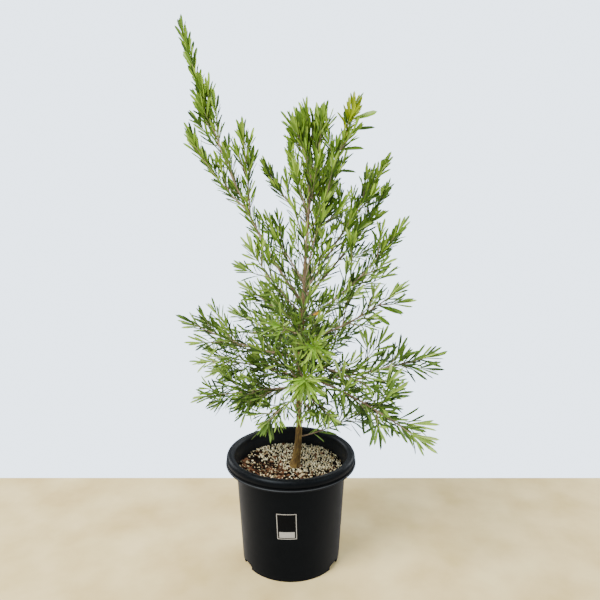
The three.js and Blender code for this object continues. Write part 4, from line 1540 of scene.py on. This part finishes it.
def leaves_of(shoot, seed):
    """Every leaf of a stem or twig, with its age from 0 at the foot to 1 at the tip."""
    draw = seeded_draw(seed)
    phase = draw() * 2 * math.pi
    start = max(shoot.bare * LEAFLESS, LEAF_FIRST)
    sparse = SPARSE_STRETCHES.get(shoot.name, NOT_SPARSE)
    step = habit_at(shoot.tip.z).step * LEAF_STEPS.get(shoot.name, 1)
    droop = DROOPS.get(shoot.spray, 0)
    longer = LONG_LEAVED.get(shoot.spray, 1)
    count = max(3, round(length_of(shoot) * (LEAF_LAST - start) / step))
    for i in range(count):
        age = (i + 0.5) / count
        share = blend(start, LEAF_LAST, age ** CROWDINGS.get(shoot.name, CROWDING))
        root, axis = point_on(shoot, share), direction_on(shoot, share)
        habit = habit_at(root.z)
        angle = blend(habit.open, habit.closed, age) + LEAF_ANGLE_SPREAD * either_way(draw)
        direction = leaning(axis, angle, phase + i * TURN + LEAF_TURN_SPREAD * either_way(draw))
        direction.y = blend(axis.y, direction.y, OUT_OF_PLANE)
        direction -= UP * (habit.droop + droop)
        length = habit.length * (1 - LEAF_SHORTEN * age * age) * (1 - LEAF_UNEVEN * draw()) * longer
        width = habit.width * blend(*LEAF_WIDTHS, draw()) * blend(FOOT_LEAF_WIDTH, 1, age)
        twist = habit.twist * either_way(draw)
        root += direction * radius_on(shoot, share) / 2
        if not sparse[0] < share < sparse[1] or i % SPARSE_KEEP == 0:
            yield Leaf(root, direction, axis * TIPWARD + LIGHT, twist, length, width, age)
    yield from tip_leaves(shoot, draw, phase + count * TURN)


def tip_leaves(shoot, draw, phase):
    """The tuft that hides a stem's end, or the wide rosette of a young shoot."""
    axis, root = direction_on(shoot, 1), point_on(shoot, 1)
    habit = habit_at(root.z)
    width = habit.width * TUFT_WIDTH
    leaves, reach, spread = TUFTS.get(shoot.name, LIMB_TUFT if shoot.name in limbs else TWIG_TUFT)
    for i in range(leaves):
        down = i / leaves
        angle = habit.closed * spread * blend(TUFT_CLOSED, 1, down) * (0.7 + 0.3 * draw())
        direction = leaning(axis, angle, phase + i * TURN)
        place = root - axis * reach * down
        length = habit.tuft * (1 - TUFT_SHORTEN * draw() * down) * LONG_LEAVED.get(shoot.spray, 1)
        twist = habit.twist * either_way(draw)
        yield Leaf(place, direction, axis * TUFT_TIPWARD + LIGHT, twist, length, width, 1)
    rosette, fall = ROSETTES.get(shoot.name, (0, 0))
    for i in range(rosette):
        up = i / rosette
        angle = blend(*ROSETTE_ANGLES, up) + ROSETTE_ANGLE_SPREAD * either_way(draw)
        direction = leaning(axis, angle, phase + i * TURN) - UP * (fall + 0.5 * draw())
        length = blend(ROSETTE_LENGTH / 2, ROSETTE_LENGTH, draw())
        place = root - axis * ROSETTE_REACH * (1 - up)
        twist = ROSETTE_TWIST * either_way(draw)
        yield Leaf(place, direction, axis + LIGHT, twist, length, ROSETTE_WIDTH, 1)
    for name, share, way, length, width, green in STRAYS:
        if name == shoot.name:
            yield Leaf(point_on(shoot, share), Vector(way), LIGHT, 0, length, width, 1, green)


def leaf_turn(leaf):
    """The turn that lays a blade along the leaf's direction, upper side towards the stem's tip."""
    along = leaf.direction.normalized()
    upper = (leaf.upper - along * leaf.upper.dot(along)).normalized()
    upper = Matrix.Rotation(math.radians(leaf.twist), 3, along) @ upper
    across = along.cross(upper)
    return Matrix((across, along, upper)).transposed().to_euler()


# %% [markdown]
# ## Leaf colours
#
# Each colour has an upper side and a paler back. A leaf's place on the ladder from deep to pale green comes
# from its spray, its age and a draw of its own: tips are fresh, while low sprays under the crown and the
# inner leaves near a stem's foot are painted darker as the crown's shade. Shoots that end low get slightly
# greyer greens, a painted sheen. The lime tufts are this spring's growth, held out in front near the foot of
# the crown, and the golden one sits at the top of the right leader.

# %% Mix the greens
GREENS = {
    "deep": ((0.038, 0.084, 0.007), (0.078, 0.130, 0.026)),
    "mid": ((0.096, 0.188, 0.014), (0.148, 0.230, 0.044)),
    "leafy": ((0.186, 0.322, 0.026), (0.234, 0.342, 0.070)),
    "fresh": ((0.300, 0.465, 0.048), (0.330, 0.460, 0.100)),
    "pale": ((0.400, 0.570, 0.115), (0.410, 0.540, 0.165)),
    "lime": ((0.310, 0.560, 0.050), (0.350, 0.540, 0.095)),
    "golden": ((0.300, 0.385, 0.005), (0.340, 0.410, 0.025)),
    "yellowed": ((0.850, 0.450, 0.020), (0.850, 0.500, 0.060)),
}
LADDER = ["deep", "mid", "leafy", "fresh", "pale"]
SHEEN_PAINTED_BELOW = 700  # shoots that end lower have slightly greyer leaves, a painted sheen
SHEEN_GREYING = 0.08


# Greys a green a little: a painted sheen on the leaves of low shoots.
def with_painted_sheen(colour):
    return tuple(blend(value, 0.9 * colour[1], SHEEN_GREYING) for value in colour)


GREENS.update({f"dull_{name}": tuple(map(with_painted_sheen, GREENS[name])) for name in LADDER})
GOLDEN_SHOOTS = ("right_leader",)
LIME_SHOOTS = ("front", "high_front", "high_front_left")
LIMB_SHADES = {
    "upright_left": 1.3, "low_front_left": -0.1, "left_leader_outer": 0, "left_leader": -0.1,
    "leading_shoot": 0.9, "leading_shoot_left": 1.0, "leading_shoot_right": 0.8, "long_right": 0.85,
}
# Low sprays under the crown, whose leaves are painted darker as the crown's shade.
SHADE_PAINTED_SPRAYS = (
    "low_back_right", "low_front_right", "lower_left", "lower_back", "lower_right", "long_front_right",
    "lower_back_right", "front_right", "middle_left",
)
LIME_MIX = (("pale", 0.75), ("lime", 0.4), ("fresh", 0.25), ("leafy", -1))  # each for draws above its number
OWN_RUNGS = 3  # how far up the ladder a leaf's own draw can move it
AGE_SHADE_RUNGS = 0.7  # and its age, which also paints shade on the inner leaves near a stem's foot
SHOOT_RUNGS = {"high": 0.9, "dark": 1.3, "plain": 1.3}  # and the draw of its shoot
RUNGS_DOWN = {"high": 0.25, "dark": 1.15, "plain": 0.75}  # and how far down a kind of spray starts; the dark sprays start lowest, as painted shade
TIP_AGE = 0.93  # leaves beyond this age are one rung paler, but not high in the crown


def leaf_finishes(name):
    sides = []
    for side, colour, roughness in zip(("upper", "under"), GREENS[name], (0.4, 0.55)):
        colours = {"Base_Color": (*colour, 1)}
        finish = new_finish(f"leaf_{name}_{side}", Roughness=roughness, Specular_IOR_Level=0.28, **colours)[0]
        sides.append(finish)
    return sides


def colour_of(shoot, leaf, chance, own):
    """The green of a leaf, from its age, one draw for its whole shoot and one of its own. Low sprays and a
    stem's inner leaves are painted darker as shade, and shoots that end low get a painted sheen.
    """
    if leaf.green:
        return leaf.green
    if shoot.name in GOLDEN_SHOOTS and leaf.age > 0.8 and own > 0.15:
        return "golden"
    if shoot.name in LIME_SHOOTS and leaf.age > 0.5:
        return next(green for green, above in LIME_MIX if own > above)
    # Low sprays start lower on the ladder: painted shade under the crown.
    kind = "dark" if shoot.spray in SHADE_PAINTED_SPRAYS else "plain"
    kind = "high" if shoot.tip.z > HIGH_CROWN else kind
    rung = LIMB_SHADES.get(shoot.name, chance) * SHOOT_RUNGS[kind] + own * OWN_RUNGS
    rung += AGE_SHADE_RUNGS * leaf.age + (leaf.age > TIP_AGE and kind != "high") - RUNGS_DOWN[kind]
    return ("dull_" if shoot.tip.z < SHEEN_PAINTED_BELOW else "") + LADDER[clamp(int(rung), 0, 4)]


# %% Set every leaf
def leaf_points(name, leaves):
    mesh = new_mesh(name, [leaf.root * MM for leaf, _ in leaves])
    turns, sizes = [], []
    for leaf, _ in leaves:
        turns += leaf_turn(leaf)
        long = leaf.length * MM
        sizes += [long * leaf.width, long, long]
    store_on(mesh, "turn", turns, "FLOAT_VECTOR")
    store_on(mesh, "size", sizes, "FLOAT_VECTOR")
    store_on(mesh, "blade", [blade for _, blade in leaves], "INT")
    return mesh


def make_leaves():
    dealt = {name: [] for name in GREENS}
    sprays = {name: set() for name in GREENS}
    for number, shoot in enumerate(shoots):
        draw = seeded_draw(LEAF_SEED * 3 + number)
        chance = draw()
        for leaf in leaves_of(shoot, LEAF_SEED + number):
            colour = colour_of(shoot, leaf, chance, draw())
            dealt[colour].append((leaf, int(draw() * len(BLADES.objects))))
            sprays[colour].add(shoot.spray)
    for name, leaves in dealt.items():
        upper, under = leaf_finishes(name)
        piece = run_tree(
            f"leaves_{name}", leaf_points(f"points_{name}", leaves), SET_LEAVES,
            Blades=BLADES, Upper_Side=upper, Back=under,
        )
        stands_for(piece, "foliage", *[f"foliage_{spray}" for spray in sorted(sprays[name])])
    return sum(len(leaves) for leaves in dealt.values())


print("leaves:", make_leaves())


# %% [markdown]
# ## Measure and finish
#
# The dressed plant has to keep to the size of the solids, so both boxes are written down side by side.


# %% Write both boxes and finish
def plain(box):
    return [[round(v, 4) for v in corner] for corner in box]


{"solids": plain(SOLID_BOX), "dressed": plain(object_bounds())}
print("solids", plain(SOLID_BOX), "dressed", plain(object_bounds()))
